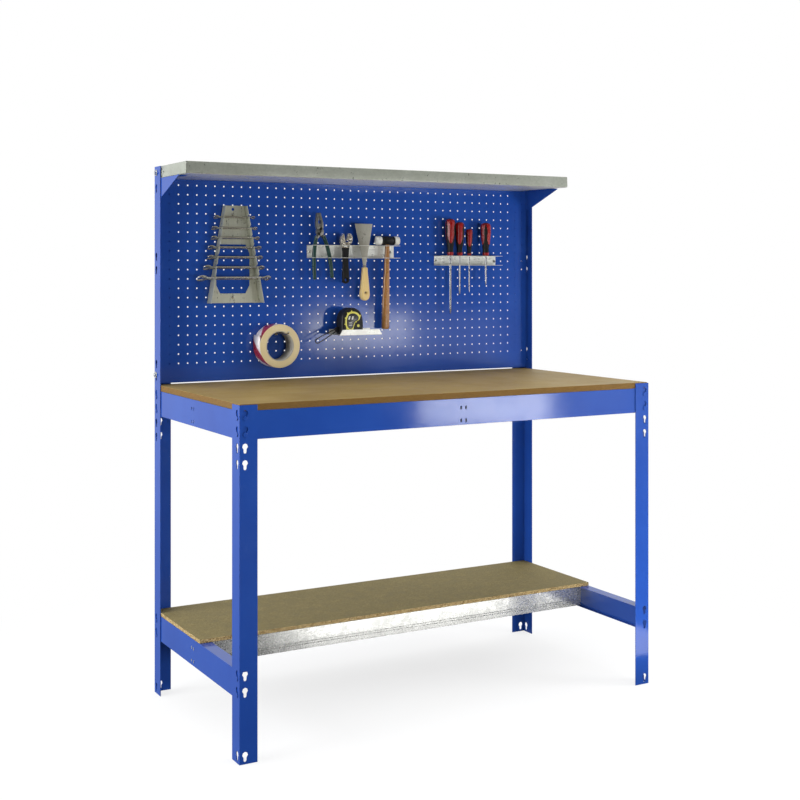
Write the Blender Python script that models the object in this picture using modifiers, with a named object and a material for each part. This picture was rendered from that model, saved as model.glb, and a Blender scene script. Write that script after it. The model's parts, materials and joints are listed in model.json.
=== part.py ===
"""Boltless steel workbench with a perforated tool panel, its racks and the tools kept in them.

Metres, +Z up. The origin is the centre of the footprint, on the floor. -Y is the front.
"""

import math

import bmesh
import bpy
from mathutils import Matrix, Vector

# ---------------------------------------------------------------- driving dimensions

GAP = 0.0003
HALF_W = 0.617
HALF_D = 0.305
REAR_POST_TOP = 1.445
FRONT_POST_TOP = 0.844
POST_FLANGE = 0.046
POST_SHEET = 0.002
IN_X = HALF_W - POST_SHEET
IN_Y = HALF_D - POST_SHEET

KEYHOLE_INSET = 0.0145
KEYHOLE_HEAD_R = 0.0075
KEYHOLE_SLOT_R = 0.004
KEYHOLE_HALF = 0.012
TOP_BEAM_KEYS = (0.8205, 0.782)
SPARE_KEYS = (0.742, 0.703, 0.0173)
LOW_BEAM_KEYS = (0.207, 0.168)
PANEL_KEYS = (0.903, 0.869, 1.1605, 1.197, 1.385)

BEAM_SHEET = 0.0015
TOP_BEAM_Z = (0.762, 0.830)
LOW_BEAM_Z = (0.149, 0.217)
BEAM_FLANGE = 0.033
BEAM_RETURN = 0.012
STUD_R = 0.0034
STUD_HEAD_R = 0.0058
STUD_HEAD = 0.0015
STUD_DROP = 0.0077

SLOT_PITCH = 0.0075
SLOT_DROPS = (0.0235, 0.0565)
FRONT_SLOT_X = 0.005
SIDE_SLOT_Y = 0.0125
BAR_HALF = 0.012

WORKTOP_Z = (TOP_BEAM_Z[1] + GAP, 0.846)
SHELF_Z = (LOW_BEAM_Z[1] + GAP, 0.227)
SHELF_FRONT = -0.036

PANEL_Y = 0.2875
PANEL_HALF = 0.6125
PANEL_Z = (0.850, 1.4125)
PANEL_SHEET = 0.001
PANEL_BACK = IN_Y - 0.0005
PANEL_LIP = 0.0048
PANEL_LIP_TOP = 1.4105
HOLE_X0 = -0.5543
HOLE_DX = 0.02674
HOLE_Z0 = 1.3962
HOLE_DZ = 0.02598
HOLE_R = 0.0028

TRAY_Z = (1.413, 1.4455)
TRAY_FRONT = 0.066
TRAY_HALF = 0.6130
TRAY_BOLT_Z = 1.428
PANEL_BOLT_Y = HALF_D - KEYHOLE_INSET + 0.003
PANEL_BOLT_Z = PANEL_KEYS[1] + KEYHOLE_HALF - KEYHOLE_HEAD_R

RACK_SHEET = 0.0012
RACK_BACK = PANEL_Y - GAP
RACK_FACE = RACK_BACK - RACK_SHEET

SPANNER_RACK_X = -0.3907
SPANNER_RACK_Z = (1.068, 1.3428)
SPANNER_RACK_HALF = (0.0800, 0.0330)
SPANNER_RACK_DEPTH = (0.033, 0.021)
SPANNER_TILT = math.radians(30)
SPANNERS = (
    (1.3095, -0.4564, -0.3300),
    (1.2785, -0.4633, -0.3231),
    (1.2510, -0.4652, -0.3163),
    (1.2240, -0.4756, -0.3114),
    (1.1965, -0.4774, -0.3079),
    (1.1677, -0.4897, -0.3031),
    (1.1380, -0.5086, -0.2843),
)

TOOL_RACK_X = (-0.163, 0.126)
TOOL_RACK_Z = (1.196, 1.2335)
TOOL_RACK_FRONT = 0.2450
TOOL_Y = 0.264

DRIVER_RACK_X = (0.2690, 0.4945)
DRIVER_RACK_Z = (1.1748, 1.2045)
DRIVER_RACK_FRONT = 0.2460
DRIVER_Y = 0.2620
DRIVERS = (
    (0.3124, 1.3190, 1.0265, 0.0158, 0.0033),
    (0.3462, 1.3095, 1.0840, 0.0150, 0.0026),
    (0.3810, 1.2885, 1.0897, 0.0112, 0.0020),
    (0.4422, 1.3085, 1.1117, 0.0165, 0.0026),
)

CADDY_X = (-0.0915, 0.0454)
CADDY_FRONT = 0.2130
CADDY_Z = (0.9715, 0.9875)

ROLL_X = -0.2700
ROLL_Z = 0.9449
ROLL_R = 0.0620
ROLL_BORE = 0.0402
ROLL_Y = (0.2372, 0.2868)
PEG_R = 0.0027

PLIERS_PIVOT = Vector((-0.1325, TOOL_Y, 1.2720))
PLIERS_HALF_T = 0.0055
WRENCH_X = -0.0485
WRENCH_Z = 1.2350
SCRAPER_X = 0.0150
MALLET_X = 0.0900
MALLET_Z = 1.2485

# ---------------------------------------------------------------- scene and materials

for old in list(bpy.data.objects):
    bpy.data.objects.remove(old)

parts = bpy.data.collections.new("tool_bench")
cutters = bpy.data.collections.new("cutters")
bpy.context.scene.collection.children.link(parts)
bpy.context.scene.collection.children.link(cutters)


def paint(name, colour, roughness, metallic):
    material = bpy.data.materials.new(name)
    material.use_nodes = True
    shader = material.node_tree.nodes["Principled BSDF"]
    shader.inputs["Base Color"].default_value = (*colour, 1.0)
    shader.inputs["Roughness"].default_value = roughness
    shader.inputs["Metallic"].default_value = metallic
    return material


BLUE = ((0.03, 0.10, 0.45), 0.35, 0.0)
ZINC = ((0.55, 0.57, 0.52), 0.38, 0.9)
STEEL = ((0.42, 0.41, 0.38), 0.30, 1.0)
BOARD = ((0.36, 0.26, 0.14), 0.65, 0.0)
CHIP = ((0.42, 0.35, 0.20), 0.75, 0.0)
BLACK = ((0.02, 0.02, 0.02), 0.50, 0.0)
GREEN = ((0.02, 0.11, 0.08), 0.50, 0.0)
RED = ((0.45, 0.02, 0.02), 0.40, 0.0)
WHITE = ((0.75, 0.75, 0.70), 0.45, 0.0)
BEECH = ((0.62, 0.46, 0.22), 0.50, 0.0)
ASH = ((0.36, 0.17, 0.06), 0.45, 0.0)

# ---------------------------------------------------------------- modelling helpers


def finish(name, mesh, look, origin=(0.0, 0.0, 0.0)):
    """Make the named part from a mesh given in world space, with its origin where asked."""
    mesh.transform(Matrix.Translation(-Vector(origin)))
    mesh.name = name
    mesh.materials.clear()
    mesh.materials.append(paint(name, *look))
    mesh.shade_smooth()
    mesh.set_sharp_from_angle(angle=math.radians(35))
    part = bpy.data.objects.new(name, mesh)
    part.location = origin
    parts.objects.link(part)
    return part


def tidy(bm):
    bmesh.ops.remove_doubles(bm, verts=bm.verts, dist=0.000005)
    bmesh.ops.recalc_face_normals(bm, faces=bm.faces)
    mesh = bpy.data.meshes.new("shape")
    bm.to_mesh(mesh)
    bm.free()
    return mesh


def box(x, y, z):
    bm = bmesh.new()
    bmesh.ops.create_cube(bm, size=1.0)
    size = Matrix.Diagonal((x[1] - x[0], y[1] - y[0], z[1] - z[0], 1.0))
    centre = Vector((sum(x) / 2, sum(y) / 2, sum(z) / 2))
    bmesh.ops.transform(bm, matrix=Matrix.Translation(centre) @ size, verts=bm.verts)
    return tidy(bm)


def rod(start, end, radius, segments=12, end_radius=None):
    """A round bar or cone between two points."""
    start = Vector(start)
    end = Vector(end)
    bm = bmesh.new()
    bmesh.ops.create_cone(
        bm,
        cap_ends=True,
        segments=segments,
        radius1=radius,
        radius2=radius if end_radius is None else end_radius,
        depth=(end - start).length,
    )
    turn = (end - start).to_track_quat("Z", "Y").to_matrix().to_4x4()
    middle = Matrix.Translation((start + end) / 2)
    bmesh.ops.transform(bm, matrix=middle @ turn, verts=bm.verts)
    return tidy(bm)


def curve_to_mesh(curve, frame):
    holder = bpy.data.objects.new("outline", curve)
    cutters.objects.link(holder)
    depsgraph = bpy.context.evaluated_depsgraph_get()
    mesh = bpy.data.meshes.new_from_object(holder.evaluated_get(depsgraph))
    bpy.data.objects.remove(holder)
    bpy.data.curves.remove(curve)
    bm = bmesh.new()
    bm.from_mesh(mesh)
    bpy.data.meshes.remove(mesh)
    bmesh.ops.transform(bm, matrix=frame, verts=bm.verts)
    return tidy(bm)


AXIS_FRAMES = {
    "x": Matrix(((0, 0, 1, 0), (1, 0, 0, 0), (0, 1, 0, 0), (0, 0, 0, 1))),
    "y": Matrix(((1, 0, 0, 0), (0, 0, -1, 0), (0, 1, 0, 0), (0, 0, 0, 1))),
    "z": Matrix.Identity(4),
}


def plate(axis, low, high, *loops, frame=None):
    """A flat outline, with any holes as further loops, given thickness along an axis.

    The loops are in the other two coordinates: (y, z), (x, z) or (x, y).
    """
    curve = bpy.data.curves.new("outline", "CURVE")
    curve.dimensions = "2D"
    curve.fill_mode = "BOTH"
    curve.extrude = (high - low) / 2
    for loop in loops:
        spline = curve.splines.new("POLY")
        spline.points.add(len(loop) - 1)
        for point, (u, v) in zip(spline.points, loop):
            point.co = (u, v, 0.0, 1.0)
        spline.use_cyclic_u = True
    shift = Vector((0.0, 0.0, 0.0))
    shift["xyz".index(axis)] = (low + high) / 2
    place = Matrix.Translation(shift) @ AXIS_FRAMES[axis]
    if frame is not None:
        place = frame @ place
    return curve_to_mesh(curve, place)


def turned(profile, centre, segments=12):
    """A solid of revolution about a vertical axis; the profile runs top to bottom."""
    mesh = bpy.data.meshes.new("profile")
    points = [(radius, 0.0, height) for radius, height in profile]
    edges = [(n, n + 1) for n in range(len(points) - 1)]
    mesh.from_pydata(points, edges, [])
    holder = bpy.data.objects.new("profile", mesh)
    cutters.objects.link(holder)
    screw = holder.modifiers.new("turn", "SCREW")
    screw.axis = "Z"
    screw.steps = segments
    screw.render_steps = segments
    screw.use_merge_vertices = True
    screw.merge_threshold = 0.00001
    depsgraph = bpy.context.evaluated_depsgraph_get()
    result = bpy.data.meshes.new_from_object(holder.evaluated_get(depsgraph))
    bpy.data.objects.remove(holder)
    bm = bmesh.new()
    bm.from_mesh(result)
    bpy.data.meshes.remove(result)
    bmesh.ops.transform(bm, matrix=Matrix.Translation(centre), verts=bm.verts)
    return tidy(bm)


def joined(meshes):
    """Several closed shapes in one mesh, to use as one cutter."""
    bm = bmesh.new()
    for mesh in meshes:
        bm.from_mesh(mesh)
        bpy.data.meshes.remove(mesh)
    mesh = bpy.data.meshes.new("cutter")
    bm.to_mesh(mesh)
    bm.free()
    return mesh


def combine(base, others, operation):
    """Join or cut with exact Booleans and return the new mesh."""
    target = bpy.data.objects.new("base", base)
    cutters.objects.link(target)
    tools = [joined(others)] if operation == "DIFFERENCE" else others
    helpers = []
    for mesh in tools:
        helper = bpy.data.objects.new("cutter", mesh)
        helper.display_type = "WIRE"
        helper.hide_render = True
        cutters.objects.link(helper)
        step = target.modifiers.new("step", "BOOLEAN")
        step.operation = operation
        step.solver = "EXACT"
        step.object = helper
        helpers.append(helper)
    depsgraph = bpy.context.evaluated_depsgraph_get()
    result = bpy.data.meshes.new_from_object(target.evaluated_get(depsgraph))
    for helper in helpers + [target]:
        bpy.data.objects.remove(helper)
    bm = bmesh.new()
    bm.from_mesh(result)
    bpy.data.meshes.remove(result)
    return tidy(bm)


def cut(base, *tools):
    return combine(base, list(tools), "DIFFERENCE")


def join(base, *others):
    return combine(base, list(others), "UNION")


def arc(centre, radius, start, end, steps):
    """Points along an arc; angles in degrees."""
    points = []
    for n in range(steps + 1):
        angle = math.radians(start + (end - start) * n / steps)
        points.append((centre[0] + radius * math.cos(angle), centre[1] + radius * math.sin(angle)))
    return points


def ring(centre, radius, segments=12):
    return arc(centre, radius, 0, 360 - 360 / segments, segments - 1)


def rectangle(u, v):
    return [(u[0], v[0]), (u[1], v[0]), (u[1], v[1]), (u[0], v[1])]


def keyhole(u, z):
    """Round head above a narrow slot, centred on a height."""
    head = arc((u, z + KEYHOLE_HALF - KEYHOLE_HEAD_R), KEYHOLE_HEAD_R, -57, 237, 6)
    foot = arc((u, z - KEYHOLE_HALF + KEYHOLE_SLOT_R), KEYHOLE_SLOT_R, 180, 360, 4)
    return head + foot


# ---------------------------------------------------------------- the frame


def make_post(name, sx, sy, top, keys):
    """An angle post: one flange across the front or back, one along the side."""
    section = [
        (sx * HALF_W, sy * HALF_D),
        (sx * (HALF_W - POST_FLANGE), sy * HALF_D),
        (sx * (HALF_W - POST_FLANGE), sy * IN_Y),
        (sx * IN_X, sy * IN_Y),
        (sx * IN_X, sy * (HALF_D - POST_FLANGE)),
        (sx * HALF_W, sy * (HALF_D - POST_FLANGE)),
    ]
    through_y = sorted((sy * (HALF_D + 0.002), sy * (IN_Y - 0.002)))
    through_x = sorted((sx * (HALF_W + 0.002), sx * (IN_X - 0.002)))
    holes = []
    for z in keys:
        holes.append(plate("y", *through_y, keyhole(sx * (HALF_W - KEYHOLE_INSET), z)))
        holes.append(plate("x", *through_x, keyhole(sy * (HALF_D - KEYHOLE_INSET), z)))
    if sy > 0:
        bolt_line = [(x, BOLT_Y, TRAY_BOLT_Z) for x in through_x]
        holes.append(rod(*bolt_line, 0.0032))
    finish(name, cut(plate("z", 0.0, top, section), *holes), BLUE)


BOLT_Y = HALF_D - KEYHOLE_INSET
FRONT_KEYS = TOP_BEAM_KEYS + SPARE_KEYS + LOW_BEAM_KEYS

for side_name, sx in (("left", -1), ("right", 1)):
    make_post(f"post_front_{side_name}", sx, -1, FRONT_POST_TOP, FRONT_KEYS)
    make_post(f"post_rear_{side_name}", sx, 1, REAR_POST_TOP, FRONT_KEYS + PANEL_KEYS)


def channel(face, inward, z):
    """Cross section of a beam: web, wide top flange, narrow bottom return."""
    s = inward
    t = BEAM_SHEET
    return [
        (face, z[0]),
        (face + s * BEAM_RETURN, z[0]),
        (face + s * BEAM_RETURN, z[0] + t),
        (face + s * t, z[0] + t),
        (face + s * t, z[1] - t),
        (face + s * BEAM_FLANGE, z[1] - t),
        (face + s * BEAM_FLANGE, z[1]),
        (face, z[1]),
    ]


def hook_slots(along, across, centre, z, reach):
    """Two pairs of small upright slots in a beam's web, where a cross bar hooks in."""
    slots = []
    for drop in SLOT_DROPS:
        for side in (-1, 1):
            u = centre + side * SLOT_PITCH
            height = (z[1] - drop - 0.0042, z[1] - drop + 0.0042)
            span = (u - 0.0020, u + 0.0020)
            if along == "x":
                slots.append(box(span, reach, height))
            else:
                slots.append(box(reach, span, height))
    return slots


def make_long_beam(name, sy, z, keys, slotted):
    """A beam along X whose web lies inside the posts' front or rear flanges."""
    face = sy * (IN_Y - GAP)
    half = IN_X - GAP
    beam = plate("x", -half, half, channel(face, -sy, z))
    notch = half - BEAM_FLANGE - 0.0006
    inner = sorted((face - sy * (BEAM_SHEET), face - sy * 0.05))
    cuts = []
    for side in (-1, 1):
        span = sorted((side * notch, side * (half + 0.01)))
        cuts.append(box(span, inner, (z[0] - 0.01, z[1] + 0.01)))
    if slotted:
        reach = sorted((face + sy * 0.01, face - sy * 0.005))
        cuts += hook_slots("x", "y", FRONT_SLOT_X, z, reach)
    beam = cut(beam, *cuts)
    studs = []
    for side in (-1, 1):
        for key in keys:
            x = side * (HALF_W - KEYHOLE_INSET)
            height = key - STUD_DROP
            outer = sy * (HALF_D + GAP)
            studs.append(rod((x, face - sy * 0.001, height), (x, outer + sy * 0.0002, height), STUD_R, 8))
            studs.append(rod((x, outer, height), (x, outer + sy * STUD_HEAD, height), STUD_HEAD_R, 8))
    finish(name, join(beam, *studs), BLUE)


def make_side_beam(name, sx, z, keys):
    """A beam along Y between the front and rear beams' webs."""
    face = sx * (IN_X - GAP)
    half = IN_Y - 2 * GAP - BEAM_SHEET
    section = channel(face, -sx, z)
    beam = plate("y", -half, half, section)
    reach = sorted((face + sx * 0.01, face - sx * 0.005))
    beam = cut(beam, *hook_slots("y", "x", SIDE_SLOT_Y, z, reach))
    studs = []
    for side in (-1, 1):
        for key in keys:
            y = side * (HALF_D - KEYHOLE_INSET)
            height = key - STUD_DROP
            outer = sx * (HALF_W + GAP)
            studs.append(rod((face - sx * 0.001, y, height), (outer + sx * 0.0002, y, height), STUD_R, 8))
            studs.append(rod((outer, y, height), (outer + sx * STUD_HEAD, y, height), STUD_HEAD_R, 8))
    finish(name, join(beam, *studs), BLUE)


make_long_beam("top_beam_front", -1, TOP_BEAM_Z, TOP_BEAM_KEYS, True)
make_long_beam("top_beam_rear", 1, TOP_BEAM_Z, TOP_BEAM_KEYS, True)
make_long_beam("lower_beam_rear", 1, LOW_BEAM_Z, LOW_BEAM_KEYS, False)
for side_name, sx in (("left", -1), ("right", 1)):
    make_side_beam(f"top_beam_{side_name}", sx, TOP_BEAM_Z, TOP_BEAM_KEYS)
    make_side_beam(f"lower_beam_{side_name}", sx, LOW_BEAM_Z, LOW_BEAM_KEYS)


def make_cross_bar(name, along, centre, web_inner, z):
    """An inverted channel of galvanised sheet with a hooked plate at each end."""
    t = 0.0012
    low = z[0] + BEAM_SHEET + 2 * GAP
    high = z[1]
    half = web_inner - GAP
    w = BAR_HALF
    section = [
        (-w, low),
        (-w + 0.005, low),
        (-w + 0.005, low + t),
        (-w + t, low + t),
        (-w + t, high - t),
        (w - t, high - t),
        (w - t, low + t),
        (w - 0.005, low + t),
        (w - 0.005, low),
        (w, low),
        (w, high),
        (-w, high),
    ]
    section = [(centre + u, v) for u, v in section]
    bar = plate(along, -half, half, section)
    notches = []
    plates = []
    for side in (-1, 1):
        end = sorted((side * (half - BEAM_FLANGE), side * (half + 0.01)))
        over = (centre - w - 0.01, centre + w + 0.01)
        top = (high - BEAM_SHEET - GAP, high + 0.01)
        notches.append(box(end, over, top) if along == "x" else box(over, end, top))
        end_plate = sorted((side * half, side * (half - 0.0015)))
        band = (centre - w + 0.0004, centre + w - 0.0004)
        tall = (low + 0.0004, high - BEAM_SHEET - 2 * GAP)
        plates.append(box(end_plate, band, tall) if along == "x" else box(band, end_plate, tall))
        for drop in SLOT_DROPS:
            for hook in (-1, 1):
                u = centre + hook * SLOT_PITCH
                tab = sorted((side * (half - 0.001), side * (half + BEAM_SHEET + 0.0013)))
                width = (u - 0.0015, u + 0.0015)
                rise = (z[1] - drop - 0.0038, z[1] - drop + 0.0038)
                plates.append(box(tab, width, rise) if along == "x" else box(width, tab, rise))
    bar = cut(bar, *notches)
    finish(name, join(bar, *plates), ZINC)


LOW_WEB = IN_X - GAP - BEAM_SHEET
TOP_WEB = IN_Y - GAP - BEAM_SHEET
make_cross_bar("lower_rail_front", "x", SIDE_SLOT_Y, LOW_WEB, LOW_BEAM_Z)
make_cross_bar("centre_cross_bar", "y", FRONT_SLOT_X, TOP_WEB, TOP_BEAM_Z)

finish("worktop", box((-0.6145, 0.6145), (-0.3025, 0.3025), WORKTOP_Z), BOARD)
finish("lower_shelf", box((-0.6145, 0.6145), (SHELF_FRONT, 0.3025), SHELF_Z), CHIP)

# ---------------------------------------------------------------- panel, tray, brackets


def hole_x(column):
    return HOLE_X0 + HOLE_DX * column


def hole_z(row):
    return HOLE_Z0 - HOLE_DZ * row


SCREW_HOLES = {
    "spanner_rack_screw_top": (6, 3),
    "spanner_rack_screw_bottom": (6, 12),
    "tool_rack_screw_left": (15, 7),
    "tool_rack_screw_right": (25, 7),
    "driver_rack_screw_left": (31, 8),
    "driver_rack_screw_right": (39, 8),
}
PEG_HOLE = (11, 16)
CADDY_HOLES = ((18, 16), (21, 16))

panel = box((-PANEL_HALF, PANEL_HALF), (PANEL_Y - PANEL_LIP, PANEL_BACK), PANEL_Z)
recess = [
    box((-PANEL_HALF + PANEL_SHEET, PANEL_HALF - PANEL_SHEET), (PANEL_Y - 0.02, PANEL_Y), (PANEL_Z[0] - 0.01, PANEL_LIP_TOP)),
    box((-PANEL_HALF - 0.01, PANEL_HALF + 0.01), (PANEL_Y - 0.02, PANEL_Y), (PANEL_LIP_TOP, PANEL_Z[1] + 0.01)),
]
hollow = box(
    (-PANEL_HALF + PANEL_SHEET, PANEL_HALF - PANEL_SHEET),
    (PANEL_Y + PANEL_SHEET, PANEL_BACK + 0.01),
    (PANEL_Z[0] + PANEL_SHEET, PANEL_Z[1] - PANEL_SHEET),
)
bores = []
for column, row in SCREW_HOLES.values():
    spot = (hole_x(column), hole_z(row))
    bores.append(rod((spot[0], PANEL_Y - 0.01, spot[1]), (spot[0], PANEL_Y + 0.0025, spot[1]), HOLE_R, 10))
for column, row in (PEG_HOLE,) + CADDY_HOLES:
    spot = (hole_x(column), hole_z(row))
    bores.append(rod((spot[0], PANEL_Y - 0.01, spot[1]), (spot[0], PANEL_Y + 0.0025, spot[1]), 0.0031, 10))
for side in (-1, 1):
    ends = [(side * (PANEL_HALF + shift), PANEL_BOLT_Y, PANEL_BOLT_Z) for shift in (-0.004, 0.004)]
    bores.append(rod(*ends, 0.0032))
panel = cut(cut(cut(cut(panel, recess[0]), recess[1]), hollow), *bores)
finish("pegboard_panel", panel, BLUE)

tray = box((-TRAY_HALF, TRAY_HALF), (TRAY_FRONT, PANEL_BACK), TRAY_Z)
inside = box(
    (-TRAY_HALF + PANEL_SHEET, TRAY_HALF - PANEL_SHEET),
    (TRAY_FRONT + PANEL_SHEET, PANEL_BACK - PANEL_SHEET),
    (TRAY_Z[0] + PANEL_SHEET, TRAY_Z[1] + 0.01),
)
tray_bores = []
for side in (-1, 1):
    for y in (BOLT_Y, 0.2455):
        ends = [(side * (TRAY_HALF + shift), y, TRAY_BOLT_Z) for shift in (-0.004, 0.004)]
        tray_bores.append(rod(*ends, 0.0032))
finish("top_tray", cut(cut(tray, inside), *tray_bores), ZINC)

BOLTS = (
    ("tray", BOLT_Y, TRAY_BOLT_Z, TRAY_HALF),
    ("panel", PANEL_BOLT_Y, PANEL_BOLT_Z, PANEL_HALF),
)

for side_name, sx in (("left", -1), ("right", 1)):
    outer = sx * (IN_X - GAP)
    wall = sorted((outer, outer - sx * 0.0012))
    gusset = [
        (0.121, PANEL_Z[1]),
        (0.121, PANEL_Z[1] - 0.002),
        (0.300, 1.3440),
        (0.300, 1.4375),
        (0.279, 1.4375),
        (0.279, PANEL_Z[1]),
    ]
    gusset = plate("x", wall[0], wall[1], gusset)
    rim = sorted((outer - sx * 0.0004, outer - sx * 0.0245))
    ledge = box(rim, (0.1214, PANEL_Y - 0.0007), (PANEL_Z[1] - 0.0014, PANEL_Z[1] - 0.0002))
    bore = rod((outer + sx * 0.004, BOLT_Y, TRAY_BOLT_Z), (outer - sx * 0.004, BOLT_Y, TRAY_BOLT_Z), 0.0032)
    finish(f"bracket_{side_name}", cut(join(gusset, ledge), bore), BLUE)

    for label, y, z, seat in BOLTS:
        inner = sx * (seat - PANEL_SHEET - GAP)
        nut = sx * (HALF_W + GAP)
        washer = rod((nut, y, z), (nut + sx * 0.0010, y, z), 0.0092, 10)
        shank = rod((inner - sx * 0.001, y, z), (nut + sx * 0.0055, y, z), 0.0028, 8)
        head = rod((inner, y, z), (inner - sx * 0.0028, y, z), 0.0044, 8)
        hexagon = rod((nut + sx * 0.0008, y, z), (nut + sx * 0.0048, y, z), 0.0056, 6)
        finish(f"{label}_bolt_{side_name}", join(shank, head, washer, hexagon), STEEL)

# ---------------------------------------------------------------- racks on the panel

low_half, high_half = SPANNER_RACK_HALF
low_z, high_z = SPANNER_RACK_Z
low_depth, high_depth = SPANNER_RACK_DEPTH
cx = SPANNER_RACK_X
back = [(cx - low_half, low_z), (cx + low_half, low_z), (cx + high_half, high_z), (cx - high_half, high_z)]
window = [
    (cx - 0.0535, 1.118),
    (cx - 0.0415, 1.0948),
    (cx + 0.0355, 1.0948),
    (cx + 0.0475, 1.118),
    (cx + 0.0475, 1.208),
    (cx + 0.0355, 1.2335),
    (cx - 0.0415, 1.2335),
    (cx - 0.0535, 1.208),
]
screw_spots = [(hole_x(6), hole_z(3)), (hole_x(6), hole_z(12))]
spare_hole = ring((hole_x(6), 1.3325), 0.0042, 10)
rack = plate(
    "y",
    RACK_FACE,
    RACK_BACK,
    back,
    window,
    spare_hole,
    *[ring(spot, HOLE_R, 10) for spot in screw_spots],
)
wings = []
for side in (-1, 1):
    lean = Vector((side * (high_half - low_half), 0.0, high_z - low_z)).normalized()
    outward = Vector((lean.z, 0.0, -lean.x))
    if side < 0:
        outward = -outward
    length = Vector((high_half - low_half, high_z - low_z)).length
    wing_frame = Matrix.Translation((cx + side * low_half, 0.0, low_z)) @ Matrix(
        (
            (outward.x, 0.0, lean.x, 0.0),
            (0.0, 1.0, 0.0, 0.0),
            (outward.z, 0.0, lean.z, 0.0),
            (0.0, 0.0, 0.0, 1.0),
        )
    )
    root = RACK_BACK - 0.0003
    wing = [
        (root, 0.0003),
        (RACK_BACK - low_depth, 0.0003),
        (RACK_BACK - high_depth, length - 0.0003),
        (root, length - 0.0003),
    ]
    wings.append(plate("x", -RACK_SHEET - 0.0002, -0.0002, wing, frame=wing_frame))


def spanner_sizes(index):
    """Length, head radius, shank width, thickness and rest centre of one spanner."""
    z, left, right = SPANNERS[index]
    length = right - left
    head = 0.068 * length
    width = 0.72 * head
    thick = 0.0030 + 0.0022 * index / 6
    y = PANEL_Y - 0.0014 - head * math.cos(SPANNER_TILT) - thick * 0.5
    return length, head, width, thick, Vector(((left + right) / 2, y, z))


def tilt_frame(centre):
    """Local X across the bench, local Y up and out of the rack's slots."""
    out = Vector((0.0, -math.cos(SPANNER_TILT), math.sin(SPANNER_TILT)))
    across = Vector((1.0, 0.0, 0.0))
    normal = across.cross(out)
    frame = Matrix((across, out, normal)).transposed().to_4x4()
    return Matrix.Translation(centre) @ frame


slots = []
for index in range(len(SPANNERS)):
    length, head, width, thick, centre = spanner_sizes(index)
    slot = rectangle((-0.15, 0.15), (-width / 2 - GAP, 0.06))
    slot_half = thick / 2 + 0.0004
    slots.append(plate("z", -slot_half, slot_half, slot, frame=tilt_frame(centre)))
finish("spanner_rack", cut(join(rack, *wings), *slots), STEEL)


def make_strip(name, x, z, front, holes, screws, bores):
    """A folded tool strip: back plate and two flanges pierced where the tools hang."""
    t = RACK_SHEET
    section = [
        (RACK_BACK, z[0]),
        (RACK_BACK, z[1]),
        (front, z[1]),
        (front, z[1] - t),
        (RACK_FACE, z[1] - t),
        (RACK_FACE, z[0] + t),
        (front, z[0] + t),
        (front, z[0]),
    ]
    strip = plate("x", x[0], x[1], section)
    cuts = [plate("z", z[0] - 0.01, z[1] + 0.01, hole) for hole in holes]
    for screw in screws:
        spot = (hole_x(SCREW_HOLES[screw][0]), hole_z(SCREW_HOLES[screw][1]))
        cuts.append(rod((spot[0], RACK_FACE - 0.004, spot[1]), (spot[0], PANEL_Y + 0.004, spot[1]), HOLE_R, 10))
    finish(name, cut(strip, *cuts), bores)


pliers_slot = rectangle((-0.1598, -0.0820), (TOOL_Y - 0.0075, TOOL_Y + 0.0075))
wrench_slot = rectangle((WRENCH_X - 0.0125, WRENCH_X + 0.0125), (TOOL_Y - 0.0065, TOOL_Y + 0.0065))
scraper_slot = rectangle((SCRAPER_X - 0.0205, SCRAPER_X + 0.0205), (TOOL_Y - 0.0125, TOOL_Y + 0.0125))
mallet_slot = rectangle((MALLET_X - 0.0200, MALLET_X + 0.0160), (TOOL_Y - 0.0120, TOOL_Y + 0.0120))
make_strip(
    "tool_rack",
    TOOL_RACK_X,
    TOOL_RACK_Z,
    TOOL_RACK_FRONT,
    (pliers_slot, wrench_slot, scraper_slot, mallet_slot),
    ("tool_rack_screw_left", "tool_rack_screw_right"),
    STEEL,
)
driver_bores = [ring((x, DRIVER_Y), shaft + 0.0006, 10) for x, top, tip, radius, shaft in DRIVERS]
make_strip(
    "driver_rack",
    DRIVER_RACK_X,
    DRIVER_RACK_Z,
    DRIVER_RACK_FRONT,
    driver_bores,
    ("driver_rack_screw_left", "driver_rack_screw_right"),
    ZINC,
)

for name, (column, row) in SCREW_HOLES.items():
    x = hole_x(column)
    z = hole_z(row)
    shank = rod((x, RACK_FACE - 0.001, z), (x, PANEL_Y + 0.0085, z), 0.0024, 8)
    head = rod((x, RACK_FACE - GAP, z), (x, RACK_FACE - 0.0026, z), 0.0046, 8, 0.0030)
    nut = rod((x, PANEL_Y + PANEL_SHEET + GAP, z), (x, PANEL_Y + 0.0055, z), 0.0050, 6)
    finish(name, join(shank, head, nut), STEEL)

t = 0.0010
caddy_section = [
    (RACK_BACK, CADDY_Z[0]),
    (RACK_BACK, CADDY_Z[0] + 0.016),
    (RACK_BACK - t, CADDY_Z[0] + 0.016),
    (RACK_BACK - t, CADDY_Z[0] + t),
    (CADDY_FRONT + t, CADDY_Z[0] + t),
    (CADDY_FRONT + t, CADDY_Z[1]),
    (CADDY_FRONT, CADDY_Z[1]),
    (CADDY_FRONT, CADDY_Z[0]),
]
caddy = plate("x", CADDY_X[0], CADDY_X[1], caddy_section)
corners = []
for end, inward in ((CADDY_X[0], 1), (CADDY_X[1], -1)):
    lip = [(end - inward * 0.001, CADDY_Z[1] + 0.001), (end + inward * 0.0088, CADDY_Z[1] + 0.001)]
    lip.append((end - inward * 0.001, CADDY_Z[0] + 0.0014))
    corners.append(plate("y", CADDY_FRONT - 0.002, CADDY_FRONT + 0.004, lip))
hooks = []
for column, row in CADDY_HOLES:
    x = hole_x(column)
    z = hole_z(row)
    hooks.append(rod((x, RACK_BACK - 0.0006, z), (x, PANEL_Y + 0.006, z), 0.0024, 8))
caddy = join(cut(caddy, *corners), *hooks)
finish("small_shelf", caddy, ZINC)


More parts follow.
